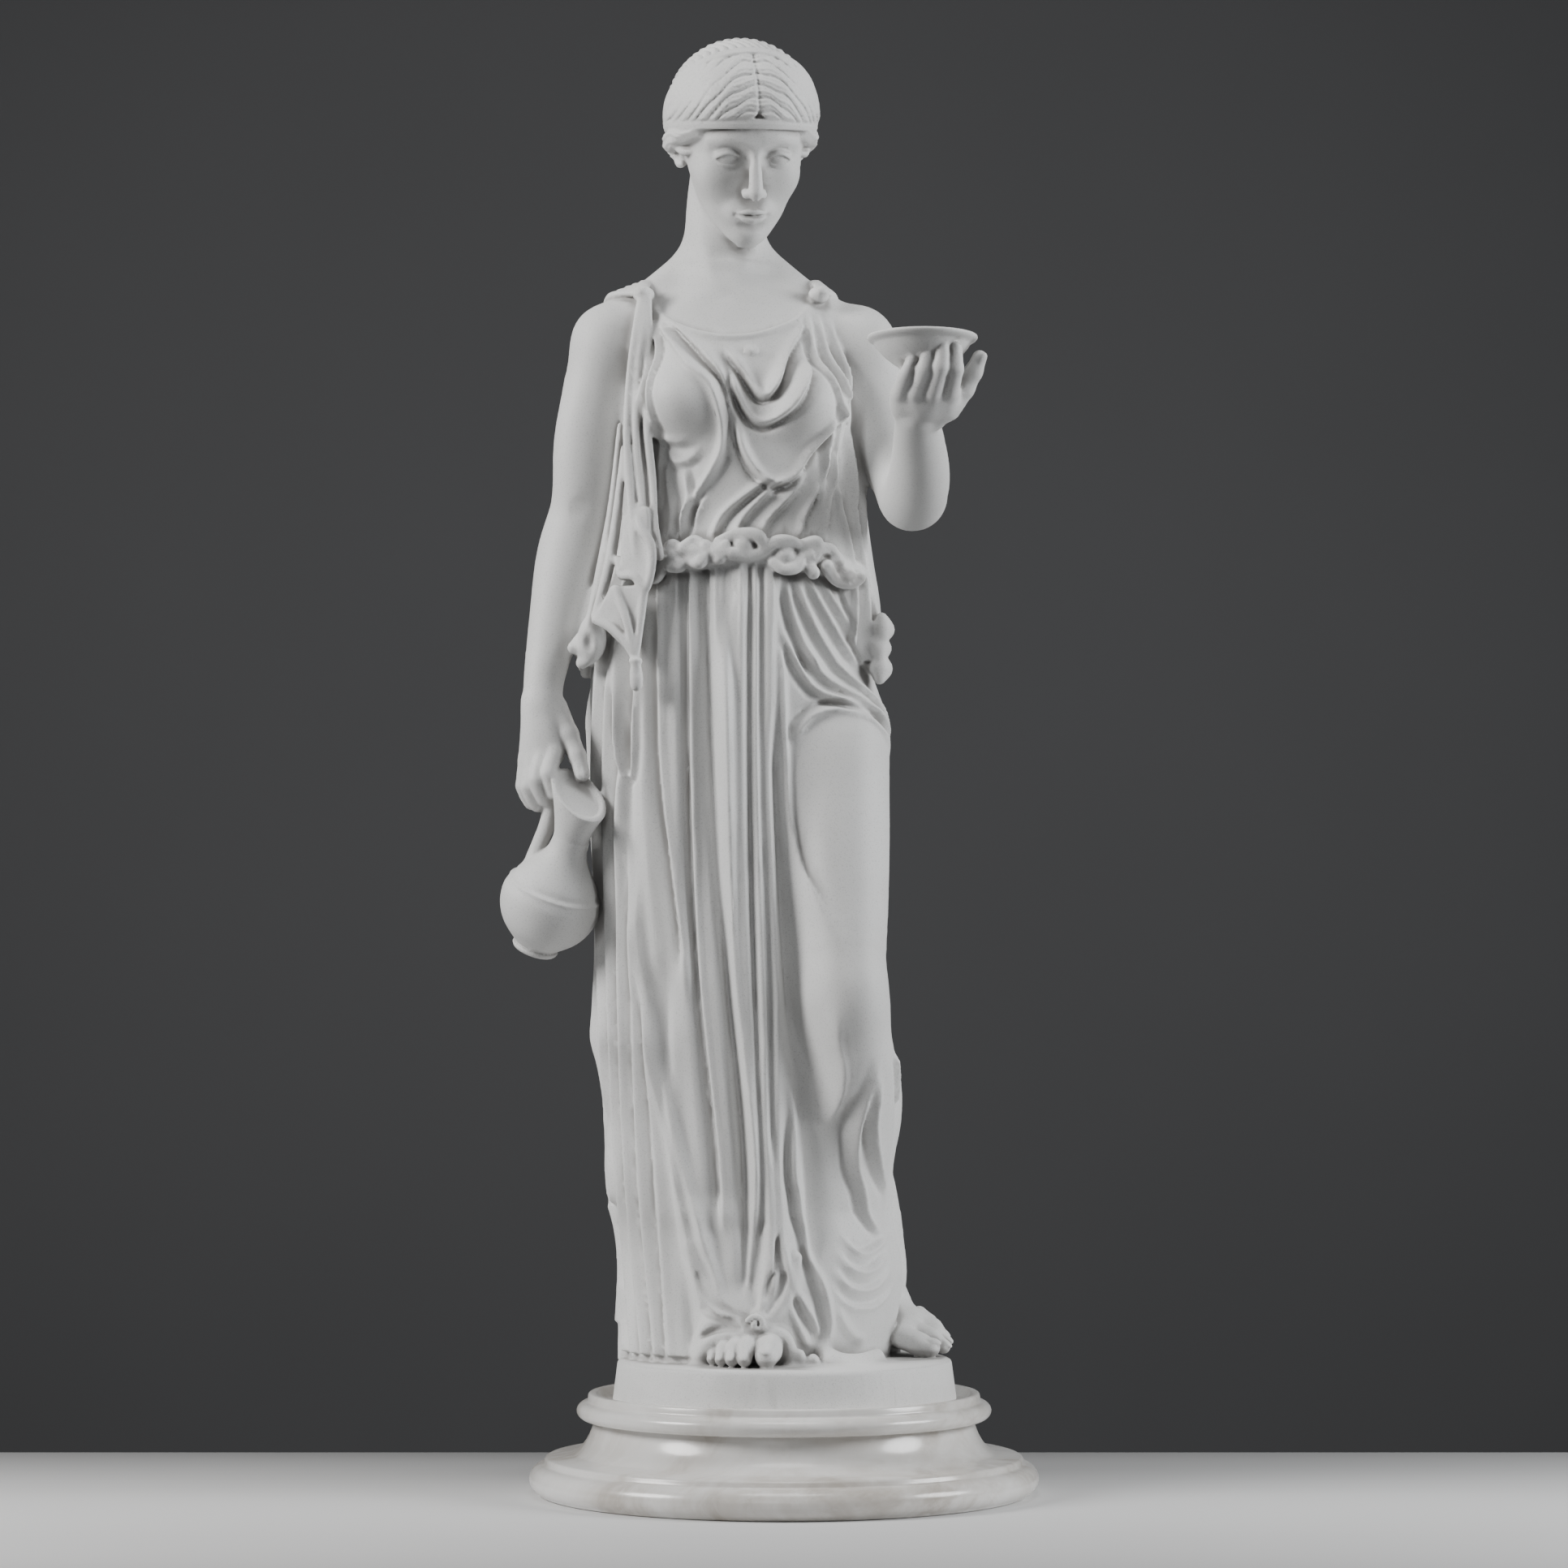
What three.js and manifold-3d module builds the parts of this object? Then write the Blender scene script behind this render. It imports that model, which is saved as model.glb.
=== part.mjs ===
// A standing cup-bearer in cast marble on a turned alabaster base.
// Millimetres, +Z up, the figure faces -Y. The origin is the centre of the base's underside.
// Two solids: the figure, cast in one with its round plinth, jug and bowl, and the base it stands in.
import * as THREE from 'three';
import { mergeVertices } from 'three/addons/utils/BufferGeometryUtils.js';
import Module from 'manifold-3d';

const wasm = await Module();
wasm.setup();

// ---- Driving dimensions ------------------------------------------------------------------------

const BASE_HEIGHT = 48;        // underside to the top rim of the alabaster base
const FOOT_RADIUS = 117;       // where the base meets the table
const SEAT_DEPTH = 4;          // the plinth stands this deep in the base
const SEAT_RADIUS = 88;        // the recess in the base's top
const BASE_SIDES = 26;        // flats round the turned base
const PLINTH_RADIUS = 82.5;    // the figure's own round plinth, at its foot
const GROUND = 64;             // top of the plinth, where the feet stand
const WAIST = 447;             // under the roll of cloth at the front
const KNEE = 235;
const HEM = GROUND - 1;        // the cloth runs a little into the plinth, as one casting
const TURN = Math.PI * 2;

// ---- Geometry helpers --------------------------------------------------------------------------

const v3 = (x, y, z) => new THREE.Vector3(x, y, z);
const mix = (a, b, t) => a + (b - a) * t;
const ease = (t) => t * t * (3 - 2 * t);
const clamp = THREE.MathUtils.clamp;
const bell = (d, width) => Math.exp(-((d / width) ** 2));

// Smooth interpolation in a table whose rows start with their position.
function lookup(rows, at) {
  const last = rows.length - 1;
  if (at <= rows[0][0]) return rows[0].slice(1);
  if (at >= rows[last][0]) return rows[last].slice(1);
  const i = rows.findIndex((row) => row[0] > at) - 1;
  const [p, q] = [rows[i], rows[i + 1]];
  const [before, after] = [rows[Math.max(i - 1, 0)], rows[Math.min(i + 2, last)]];
  const span = q[0] - p[0];
  const t = (at - p[0]) / span;
  return p.slice(1).map((value, k) => {
    const slopeIn = (q[k + 1] - before[k + 1]) / (q[0] - before[0]) * span;
    const slopeOut = (after[k + 1] - value) / (after[0] - p[0]) * span;
    const a = ease(t);
    return mix(value, q[k + 1], a) + slopeIn * t * (1 - t) ** 2 - slopeOut * t * t * (1 - t);
  });
}

// A closed skin over a stack of rings, capped flat at both ends.
function skin(rings) {
  const count = rings[0].length;
  const points = rings.flat();
  const faces = [];
  for (let r = 0; r + 1 < rings.length; r++) {
    for (let i = 0; i < count; i++) {
      const a = r * count + i;
      const b = r * count + (i + 1) % count;
      faces.push(a, b, b + count, a, b + count, a + count);
    }
  }
  for (const [ring, turned] of [[0, true], [rings.length - 1, false]]) {
    const centre = points.length;
    points.push(rings[ring].reduce((sum, p) => sum.add(p), v3(0, 0, 0)).divideScalar(count));
    for (let i = 0; i < count; i++) {
      const a = ring * count + i;
      const b = ring * count + (i + 1) % count;
      faces.push(...(turned ? [centre, b, a] : [centre, a, b]));
    }
  }
  return new THREE.BufferGeometry().setFromPoints(points).setIndex(faces);
}

// A closed geometry as a solid that can be joined and cut.
function solid(geometry) {
  const bare = new THREE.BufferGeometry().setAttribute('position', geometry.attributes.position);
  bare.setIndex(geometry.index);
  const mesh = mergeVertices(bare, 1e-4);
  const corners = Uint32Array.from(mesh.index.array);
  const positions = Float32Array.from(mesh.attributes.position.array);
  const make = () => new wasm.Manifold(new wasm.Mesh({
    numProp: 3, vertProperties: positions, triVerts: corners }));
  const made = make();
  if (made.volume() > 0) return made;
  for (let i = 0; i < corners.length; i += 3) {
    [corners[i + 1], corners[i + 2]] = [corners[i + 2], corners[i + 1]];
  }
  return make();
}

// A solid as a geometry again.
function geometryOf(made) {
  const mesh = made.getMesh();
  const positions = new THREE.BufferAttribute(Float32Array.from(mesh.vertProperties), 3);
  return new THREE.BufferGeometry().setAttribute('position', positions)
    .setIndex(Array.from(mesh.triVerts));
}

// A limb through stations [x, y, z, half width, half depth], its start buried and its end rounded.
// The width lies along `side`.
function limb(stations, { sides = 10, steps = 8, side = v3(1, 0, 0) } = {}) {
  const path = new THREE.CatmullRomCurve3(stations.map(([x, y, z]) => v3(x, y, z)));
  const girth = new THREE.CatmullRomCurve3(stations.map(([, , , w, d]) => v3(w, d ?? w, 0)));
  const rings = [];
  const ring = (t, shrink, push) => {
    const along = path.getTangent(t);
    const across = side.clone().addScaledVector(along, -side.dot(along)).normalize();
    const out = along.clone().cross(across);
    const size = girth.getPoint(t);
    const centre = path.getPoint(t).addScaledVector(along, push * Math.min(size.x, size.y));
    rings.push(Array.from({ length: sides }, (_, i) => {
      const angle = i / sides * TURN;
      return centre.clone().addScaledVector(across, Math.cos(angle) * size.x * shrink)
        .addScaledVector(out, Math.sin(angle) * size.y * shrink);
    }));
  };
  for (let k = 0; k <= steps; k++) ring(k / steps, 1, 0);
  ring(1, 0.55, 0.5);
  return solid(skin(rings));
}

// An ellipsoid at a place, with its three half sizes.
function ellipsoid([x, y, z], [rx, ry, rz], sides = 16) {
  const ball = new THREE.SphereGeometry(1, sides, sides / 2);
  return solid(ball.rotateX(Math.PI / 2).scale(rx, ry, rz).translate(x, y, z));
}

const join = (solids) => solids.reduce((sum, next) => sum.add(next));

// ---- Alabaster base ----------------------------------------------------------------------------

function roundArc(cx, cz, radiusX, radiusZ, from, to, steps) {
  return Array.from({ length: steps + 1 }, (_, i) => {
    const angle = THREE.MathUtils.degToRad(mix(from, to, i / steps));
    return new THREE.Vector2(cx + radiusX * Math.cos(angle), cz + radiusZ * Math.sin(angle));
  });
}

// Two bold rounds with a hollow neck between them, and a seat turned into the top.
function baseGeometry() {
  const profile = [
    new THREE.Vector2(0, 0),
    new THREE.Vector2(FOOT_RADIUS, 0),
    ...roundArc(114, 7.6, 7.8, 7.4, -62, 78, 4),
    new THREE.Vector2(114.5, 15.6),
    new THREE.Vector2(113.4, 17.6),
    ...roundArc(106, 41, 15.5, 22.6, -108, -176, 3),
    new THREE.Vector2(95, 33.6),
    ...roundArc(93.8, 39, 5.6, 5, -55, 78, 3),
    new THREE.Vector2(94, 44.6),
    new THREE.Vector2(93.4, BASE_HEIGHT),
    new THREE.Vector2(90, BASE_HEIGHT),
    new THREE.Vector2(SEAT_RADIUS, BASE_HEIGHT - SEAT_DEPTH),
    new THREE.Vector2(0, BASE_HEIGHT - SEAT_DEPTH),
  ];
  return new THREE.LatheGeometry(profile, BASE_SIDES).rotateX(Math.PI / 2);
}

// ---- Plinth cast with the figure ---------------------------------------------------------------

function plinth() {
  const floor = BASE_HEIGHT - SEAT_DEPTH;
  const profile = [[0, floor], [PLINTH_RADIUS, floor], [PLINTH_RADIUS - 2, GROUND - 2],
    [PLINTH_RADIUS - 3.5, GROUND], [0, GROUND]].map(([r, z]) => new THREE.Vector2(r, z));
  return solid(new THREE.LatheGeometry(profile, 24).rotateX(Math.PI / 2));
}

// ---- Draped body -------------------------------------------------------------------------------

// Outline of the skirt by height: left, right, front and back.
const SKIRT = [
  [HEM, -77, 46, -45, 58],
  [100, -75, 52, -42, 60],
  [135, -79, 45, -40, 60],
  [170, -83, 48, -39, 58],
  [200, -86, 50, -39, 57],
  [240, -89, 45, -39, 55],
  [310, -91, 43, -40, 54],
  [370, -95, 42, -41, 53],
  [420, -88, 42, -40, 50],
  [WAIST, -70, 35, -35, 40],
  [470, -62, 30, -33, 34],
];

// Outline of the blouse that hangs from the shoulders over the girdle.
const BLOUSE = [
  [392, -98, 46, -38, 54],
  [425, -95, 45, -40, 52],
  [455, -82, 41, -39, 44],
  [485, -74, 37, -38, 40],
  [515, -73, 35, -43, 38],
  [540, -73, 33, -41, 38],
  [558, -70, 30, -35, 37],
  [574, -60, 22, -24, 32],
];

// Crests of the skirt's front folds, left to right: x at the waist, at the knee and at the hem.
const CRESTS = [
  [-64, -83, -71], [-56, -69, -46], [-47, -58, -33], [-38, -41, -21], [-27, -27, -9],
  [-17, -16, 1], [-6, -5, 13],
];
const FOLD_HEIGHT = 3.2;
const BACK_FOLDS = 8;

// A point on a body section. `turn` is 0 at the front and grows towards +X.
function sectionPoint([left, right, front, back], turn, raise, z) {
  const halfWidth = (right - left) / 2 + raise;
  const halfDepth = (back - front) / 2 + raise;
  return v3((left + right) / 2 + halfWidth * Math.sin(turn),
    (front + back) / 2 - halfDepth * Math.cos(turn), z);
}

// Where a fold's crest lies at height z, from its three named places.
function crestAt([waist, knee, hem], z) {
  return lookup([[HEM, hem], [KNEE, knee], [WAIST, waist]], z)[0];
}

// The columns of the skirt at height z: [turn, raise] on each crest, in each valley and between.
function skirtColumns(z) {
  const [left, right] = lookup(SKIRT, z);
  const turnOf = (x) => Math.asin(clamp((x - (left + right) / 2) / ((right - left) / 2), -0.985, 0.985));
  const turns = CRESTS.map((crest) => turnOf(crestAt(crest, z)));
  const smoothSide = turnOf(mix(left, right, 0.97));
  const start = turns[0];
  const end = start + TURN;
  for (let i = 1; i <= 2; i++) turns.push(mix(turns[CRESTS.length - 1], smoothSide, i / 2));
  for (let i = 1; i <= BACK_FOLDS; i++) turns.push(mix(smoothSide, end, i / (BACK_FOLDS + 1)));
  turns.push(end);
  const columns = [];
  for (let i = 0; i + 1 < turns.length; i++) {
    const stretched = i >= CRESTS.length - 1 && i <= CRESTS.length + 1;
    const deep = FOLD_HEIGHT * (stretched ? 0.12 : 1) * (0.6 + 0.5 * bell(z - 160, 150));
    const steps = i < CRESTS.length - 1 ? 4 : 2;
    for (let k = 0; k < steps; k++) {
      columns.push([mix(turns[i], turns[i + 1], k / steps), deep * Math.cos(k / steps * TURN)]);
    }
  }
  return columns;
}

function skirt() {
  const heights = [HEM, 85, 120, 160, 200, 240, 290, 340, 390, WAIST, 470];
  return solid(skin(heights.map((z) => skirtColumns(z)
    .map(([turn, raise]) => sectionPoint(lookup(SKIRT, z), turn, raise, z)))));
}

// Lower edge of the blouse: high over the belly, low at the hips and the back.
const rollHeight = (turn) => 452 - 50 * ease(clamp((1 - Math.cos(turn) - 0.45) / 0.5, 0, 1));

// The blouse swells over the girdle and gathers towards the shoulders.
function blouse() {
  const columns = 32;
  const levels = [0, 0.08, 0.2, 0.4, 0.6, 0.8, 1];
  const top = 574;
  return solid(skin(levels.map((level) => Array.from({ length: columns }, (_, i) => {
    const turn = i / columns * TURN;
    const z = mix(rollHeight(turn), top, level);
    const swell = 3.5 * bell(level - 0.07, 0.07) + (level === 0 ? -5 : 0);
    const fold = 1.3 * Math.cos(turn * 14 + 0.5) * bell(level - 0.2, 0.3);
    return sectionPoint(lookup(BLOUSE, z), turn, swell + fold, z);
  }))));
}

// The bunched roll of cloth over the girdle, across the front.
function waistRoll() {
  const steps = 12;
  const stations = Array.from({ length: steps + 1 }, (_, i) => {
    const turn = mix(-1.05, 1.15, i / steps);
    const z = rollHeight(turn) + 1;
    const p = sectionPoint(lookup(BLOUSE, z), turn, 0.5, z);
    const bunch = i % 2 ? 6.4 : 5;
    return [p.x, p.y, p.z + (i % 2 ? 1.5 : -1.5), bunch, bunch * 0.8];
  });
  return limb(stations, { sides: 5, steps: 14, side: v3(0, 0, 1) });
}

// The free leg under the cloth: thigh, bent knee and shin, to the raised heel.
function freeLeg() {
  return limb([[20, 2, 398, 16, 20], [22, -6, 372, 25, 30], [27, -16, 330, 25, 27], [28, -24, 280, 23, 24],
    [28, -31, 240, 21, 21], [32, -22, 200, 22, 22], [36, -4, 155, 18, 24], [34, 14, 110, 20, 27],
    [26, 26, HEM, 24, 26]], { sides: 10, steps: 8 });
}

function breasts() {
  return join([[-47, -29, 525], [9, -29, 522]].map((centre) => ellipsoid(centre, [22, 20, 21], 10)));
}

// Catenary folds that sag between the breasts, the lowest first: how far each hangs.
function chestFolds() {
  return join([[-34, 14, 560, 491], [-29, 9, 566, 506], [-22, 2, 570, 522]].map(([from, to, top, low]) => {
    const steps = 6;
    const stations = Array.from({ length: steps + 1 }, (_, i) => {
      const u = i / steps * 2 - 1;
      const z = mix(low, top, u * u);
      const [, , front] = lookup(BLOUSE, z);
      return [mix(from, to, i / steps), front + 2 - 4 * (1 - u * u), z, 3, 4];
    });
    return limb(stations, { sides: 4, steps: 6, side: v3(0, 0, 1) });
  }));
}

// Side edges of the open garment: a narrow cascade from the brooch, then a flap with a tassel.
function sideFall(cascade, flap) {
  return join([limb(cascade, { sides: 5, steps: 5 }), limb(flap, { sides: 6, steps: 5 })]);
}

function sideFalls() {
  const left = sideFall(
    [[-69, -8, 578, 2, 2], [-70, -20, 570, 5, 4], [-71, -32, 550, 6, 6], [-70, -36, 515, 7, 6],
      [-70, -35, 480, 8, 6], [-71, -33, 445, 9, 6]],
    [[-72, -26, 456, 4, 3], [-76, -30, 446, 12, 6], [-75, -35, 425, 11, 5], [-71.5, -37, 404, 2.6, 3],
      [-71, -38, 399, 3.6, 3], [-70.5, -38, 387, 3.2, 2.6]]);
  const right = sideFall(
    [[18, -8, 578, 2, 2], [20, -20, 570, 5, 4], [27, -30, 550, 5, 6], [30, -34, 515, 6, 6],
      [34, -32, 480, 8, 7], [39, -27, 450, 9, 7]],
    [[38, -22, 456, 4, 3], [39, -26, 446, 10, 8], [41, -27, 425, 8, 6], [40, -29, 404, 2.6, 3.4],
      [40, -30, 399, 3.6, 3], [40.5, -30, 387, 3.2, 2.6]]);
  return join([left, right]);
}

// ---- Shoulders, neck and head ------------------------------------------------------------------

function shoulders() {
  const yoke = limb([[-86, 4, 553, 16, 17], [-72, 4, 559, 20, 22], [-48, 4, 560, 24, 26],
    [-25, 4, 560, 26, 27], [0, 4, 560, 24, 26], [24, 4, 559, 20, 22], [40, 4, 555, 16, 17]],
  { sides: 8, steps: 6, side: v3(0, 0, 1) });
  const neck = limb([[-26, 7, 568, 44, 26], [-28, 7, 580, 36, 24], [-29, 6, 590, 26, 22],
    [-29.5, 5, 601, 20.5, 19.5], [-29, 4, 616, 18.5, 18.5], [-26, 2, 640, 18.5, 20]],
  { sides: 10, steps: 6 });
  const brooches = [[-69, -8, 580], [17, -8, 580]].map((centre) => ellipsoid(centre, [7, 9, 6], 6));
  return join([yoke, neck, ...brooches]);
}

// The head in its own frame, face towards -Y: [height, half width, front, back, centre shift].
const HEAD = [
  [-42.5, 5, -29.5, -18],
  [-39.5, 13, -33, -9],
  [-33, 19.5, -34.5, 2],
  [-26, 23, -34.5, 15],
  [-18, 25.5, -34.5, 26],
  [-9, 27.5, -33.5, 32],
  [2, 29, -32.5, 36],
  [11, 31.5, -35, 38],
  [20, 35, -35.5, 39],
  [29, 33.5, -32, 37],
  [38, 27, -24, 30],
  [44, 18, -14, 20],
  [47.5, 8, -5, 9],
];
const HEAD_CENTRE = [-21, -10, 652];
const HEAD_TILT = [31, -2, 13];  // bowed, leaning and turned, in degrees

const HAIRLINE = 24;             // hair stands above this height in front, and lower behind
const LOCK_HEIGHT = 1.1;

// Locks of hair stand out from every second column above the hairline.
function lockRaise(i, turn, z) {
  const line = HAIRLINE - 20 * (1 - Math.cos(turn));
  return z > line ? LOCK_HEIGHT * (i % 2 ? -1 : 1) : 0;
}

function head() {
  const columns = 20;
  const rings = HEAD.map(([z, half, front, back]) => Array.from({ length: columns }, (_, i) => {
    const turn = i / columns * TURN;
    return sectionPoint([-half, half, front, back], turn, lockRaise(i, turn, z), z);
  }));
  const nose = limb([[0, -30, 6, 3, 3], [0, -35.5, -7, 3.2, 3.5], [0, -37, -15, 4.6, 4]],
    { sides: 6, steps: 2 });
  const bun = ellipsoid([0, 40, 9], [16, 13, 14], 8);
  const sideHair = [-1, 1].map((s) => limb([[s * 18, -26, 18, 3, 3], [s * 29, -15, 7, 7, 6],
    [s * 32, 4, 0, 7, 7], [s * 26, 24, 2, 8, 8]], { sides: 5, steps: 3, side: v3(0, 0, 1) }));
  const ears = [-1, 1].map((s) => ellipsoid([s * 31, 3, -6], [4, 5.5, 8], 6));
  const band = bandRing(16, 36, -37, 40, 2.8, 0.1);
  const made = join([solid(skin(rings)), nose, bun, ...sideHair, ...ears, band]);
  const [bow, lean, turn] = HEAD_TILT;
  return made.rotate([bow, lean, 0]).rotate([0, 0, turn]).translate(HEAD_CENTRE);
}

// A flat ribbon round the hair at one height of the head's frame.
function bandRing(z, half, front, back, height, slope) {
  const columns = 16;
  const corners = [[1, -1], [1, 1], [-3, 1], [-3, -1]];
  const points = [];
  const faces = [];
  for (let i = 0; i < columns; i++) {
    for (const [out, up] of corners) {
      const p = sectionPoint([-half, half, front, back], i / columns * TURN, out, 0);
      points.push(v3(p.x, p.y, z + up * height - slope * p.y));
    }
    for (let k = 0; k < 4; k++) {
      const [a, b] = [i * 4 + k, i * 4 + (k + 1) % 4];
      const [c, d] = [(a + 4) % (columns * 4), (b + 4) % (columns * 4)];
      faces.push(a, b, d, a, d, c);
    }
  }
  return solid(new THREE.BufferGeometry().setFromPoints(points).setIndex(faces));
}

// ---- Arms and hands ----------------------------------------------------------------------------

function loweredArm() {
  const arm = limb([[-74, 4, 566, 10, 12], [-86, 4, 553, 18, 19], [-92, 4, 530, 16.5, 18],
    [-94.5, 5, 500, 16.3, 17], [-98, 6, 478, 16, 15.5], [-103, 5, 457, 15.5, 14.5],
    [-108.5, 2, 437, 14, 14], [-112.5, -2, 415, 12, 12], [-116, -7, 390, 9.6, 8.4],
    [-117, -9, 380, 9.4, 7.4]],
  { sides: 9, steps: 8 });
  const palm = limb([[-117, -9, 382, 9, 7.2], [-116.5, -11, 366, 9.5, 6.6], [-116, -12, 351, 8.6, 5.6]],
    { sides: 8, steps: 2 });
  const fingers = Array.from({ length: 4 }, (_, i) => limb(
    [[-111 - 3.6 * i, -13 + 1.5 * i, 354, 2.9, 3], [-111.5 - 3.6 * i, -17 + 3 * i, 342 - 2 * i, 2.8, 3],
      [-110.5 - 2.6 * i, -11 + 3 * i, 332.5 - 1.6 * i, 2.7, 2.7],
      [-106 - 1.6 * i, -4 + 2.4 * i, 334 - 1.6 * i, 2.4, 2.4]], { sides: 5, steps: 3 }));
  const thumb = limb([[-107, -11, 374, 4.6, 5], [-101, -14, 361, 3.8, 4], [-97.6, -17, 350, 3.1, 3.4],
    [-96, -19.5, 341.5, 3.2, 2.8]], { sides: 6, steps: 3 });
  return join([arm, palm, thumb, ...fingers]);
}

const BOWL_CENTRE = [63.5, -113, 539];

function raisedArm() {
  const arm = limb([[28, 4, 566, 10, 12], [40, 4, 555, 17, 18], [46, 0, 530, 16.5, 17],
    [53, -9, 503, 15.5, 16], [60, -20, 480, 15.5, 15.5], [63.5, -34, 476, 15, 15.5],
    [64, -55, 486, 13.6, 14], [62.5, -78, 496, 11.4, 11.4], [61.5, -100, 504, 9.8, 8.2]],
  { sides: 9, steps: 9, side: v3(1, 0, 0) });
  const palm = limb([[61.5, -98, 504, 9.6, 7.6], [64, -109, 508, 12, 6.6], [67, -119, 508, 13, 5.4]],
    { sides: 8, steps: 2 });
  const fingers = [[56.5, -119, 509, 58, -123, 527], [63.2, -122, 508, 65.4, -130, 532],
    [70, -123, 508, 72, -131, 534], [76.5, -121, 509, 78, -128, 532]].map(([x, y, z, tx, ty, tz]) => limb(
    [[x, y + 3, z, 3, 3], [mix(x, tx, 0.3), y - 6, mix(z, tz, 0.35), 2.9, 3],
      [mix(x, tx, 0.6), ty - 3, mix(z, tz, 0.6), 2.8, 2.8], [tx, ty, tz, 2.5, 2.4]],
    { sides: 5, steps: 3 }));
  const thumb = limb([[72, -106, 511, 5, 5], [80, -110, 518, 4, 4], [85, -113, 525, 3.2, 3.2],
    [89, -116, 530, 2.9, 2.7]], { sides: 6, steps: 3, side: v3(0, 1, 0) });
  return join([arm, palm, thumb, ...fingers]);
}

// A shallow drinking bowl with a flared lip and a small foot, hollow to its true wall.
function bowl() {
  const profile = [[0, -21], [9.5, -21], [10, -18], [17, -13], [20.5, -6.5], [25.3, -1.4], [25.6, 0],
    [24.6, 0.4], [20.5, -2.6], [17.5, -8], [11, -13], [0, -15]]
    .map(([r, z]) => new THREE.Vector2(r, z));
  return solid(new THREE.LatheGeometry(profile, 16).rotateX(Math.PI / 2).translate(...BOWL_CENTRE));
}

// ---- Jug ---------------------------------------------------------------------------------------

const JUG_FOOT = v3(-121, 3, 259.5);
const JUG_AXIS = v3(0.321, -0.342, 0.883);   // it hangs tilted, its mouth to the front and right
const JUG_PROFILE = [[0, 10.5], [3, 12.5], [11, 19.5], [20, 23.8], [28, 24.4], [34.5, 22.8],
  [42.5, 17], [50, 11], [58, 8.6]];          // height along the axis, radius
const MOUTH = v3(-98, -24, 333.5);
const MOUTH_LONG = v3(-0.531, 0.366, 0.764); // from the spout up to the handle
const MOUTH_WIDE = v3(0.754, 0.609, 0.233);
const MOUTH_HALF = [17.5, 12.5];

// A ring of points round `centre`, squared to `axis` where one is given.
function ringAround(centre, wide, long, halfWide, halfLong, sides, axis) {
  const [u, v] = [wide, long].map((direction) => (axis
    ? direction.clone().addScaledVector(axis, -direction.dot(axis)).normalize() : direction));
  return Array.from({ length: sides }, (_, i) => {
    const angle = i / sides * TURN;
    return centre.clone().addScaledVector(u, Math.cos(angle) * halfWide)
      .addScaledVector(v, Math.sin(angle) * halfLong);
  });
}

function jug() {
  const sides = 12;
  const axis = JUG_AXIS.clone().normalize();
  const rings = JUG_PROFILE.map(([height, r]) => ringAround(
    JUG_FOOT.clone().addScaledVector(axis, height), MOUTH_WIDE, MOUTH_LONG, r, r, sides, axis));
  const neck = JUG_FOOT.clone().addScaledVector(axis, 58);
  for (const [t, width, length] of [[0.5, 8.8, 10.5], [1, MOUTH_HALF[1], MOUTH_HALF[0]]]) {
    rings.push(ringAround(neck.clone().lerp(MOUTH, t), MOUTH_WIDE, MOUTH_LONG, width, length, sides));
  }
  const handle = limb([[-122, -8, 300, 4.2, 4], [-117.5, -9, 311, 4.2, 3.6], [-114, -10, 320, 4.2, 3.4],
    [-111.5, -12, 330, 4, 3.4], [-108, -16, 341, 4, 3.6]], { sides: 5, steps: 4 });
  return join([solid(skin(rings)), handle]);
}

// ---- Feet --------------------------------------------------------------------------------------

// A bare foot in its own frame: heel behind the origin, toes towards -Y, the great toe at +X.
function foot(length) {
  const sole = limb([[0, 0, 10, 10, 10], [1, -0.35 * length, 9, 12, 9], [1, -0.62 * length, 6, 14.5, 6],
    [0, -0.8 * length, 4, 14, 4]], { sides: 7, steps: 3 });
  const toes = Array.from({ length: 5 }, (_, i) => {
    const x = 10.5 - i * 5.4 - (i ? 2 : 0);
    const reach = length * (0.99 - 0.032 * i);
    const girth = i ? 3 : 4.6;
    return limb([[x, -0.74 * length, 4.5, girth], [x, -0.88 * length, 5, girth],
      [x, -reach + 2, 3, girth * 0.92]], { sides: 4, steps: 1 });
  });
  return join([sole, ...toes]);
}

function feet() {
  const standing = foot(90).rotate([0, 0, -6]).translate([-13, 28, GROUND]);
  const trailing = foot(84).rotate([20, 0, 52]).translate([10, 64, GROUND + 31]);
  return join([standing, trailing]);
}

// ---- Assembly ----------------------------------------------------------------------------------

function figure() {
  return join([plinth(), skirt(), blouse(), waistRoll(), freeLeg(), breasts(), chestFolds(),
    sideFalls(), shoulders(), head(), loweredArm(), raisedArm(), bowl(), jug(), feet()]);
}

const marble = new THREE.MeshStandardMaterial({ color: 0xe6e5e2, roughness: 0.62, metalness: 0 });
const alabaster = new THREE.MeshStandardMaterial({ color: 0xdedad4, roughness: 0.2, metalness: 0 });

const statue = new THREE.Group();

const figureMesh = new THREE.Mesh(geometryOf(figure()), marble);
figureMesh.name = 'figure';
statue.add(figureMesh);

const baseMesh = new THREE.Mesh(baseGeometry(), alabaster);
baseMesh.name = 'base';
statue.add(baseMesh);

export default statue;
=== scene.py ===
"""A draped cup-bearer in white marble, cast in one with its plinth, on a turned alabaster base."""
import math

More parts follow.
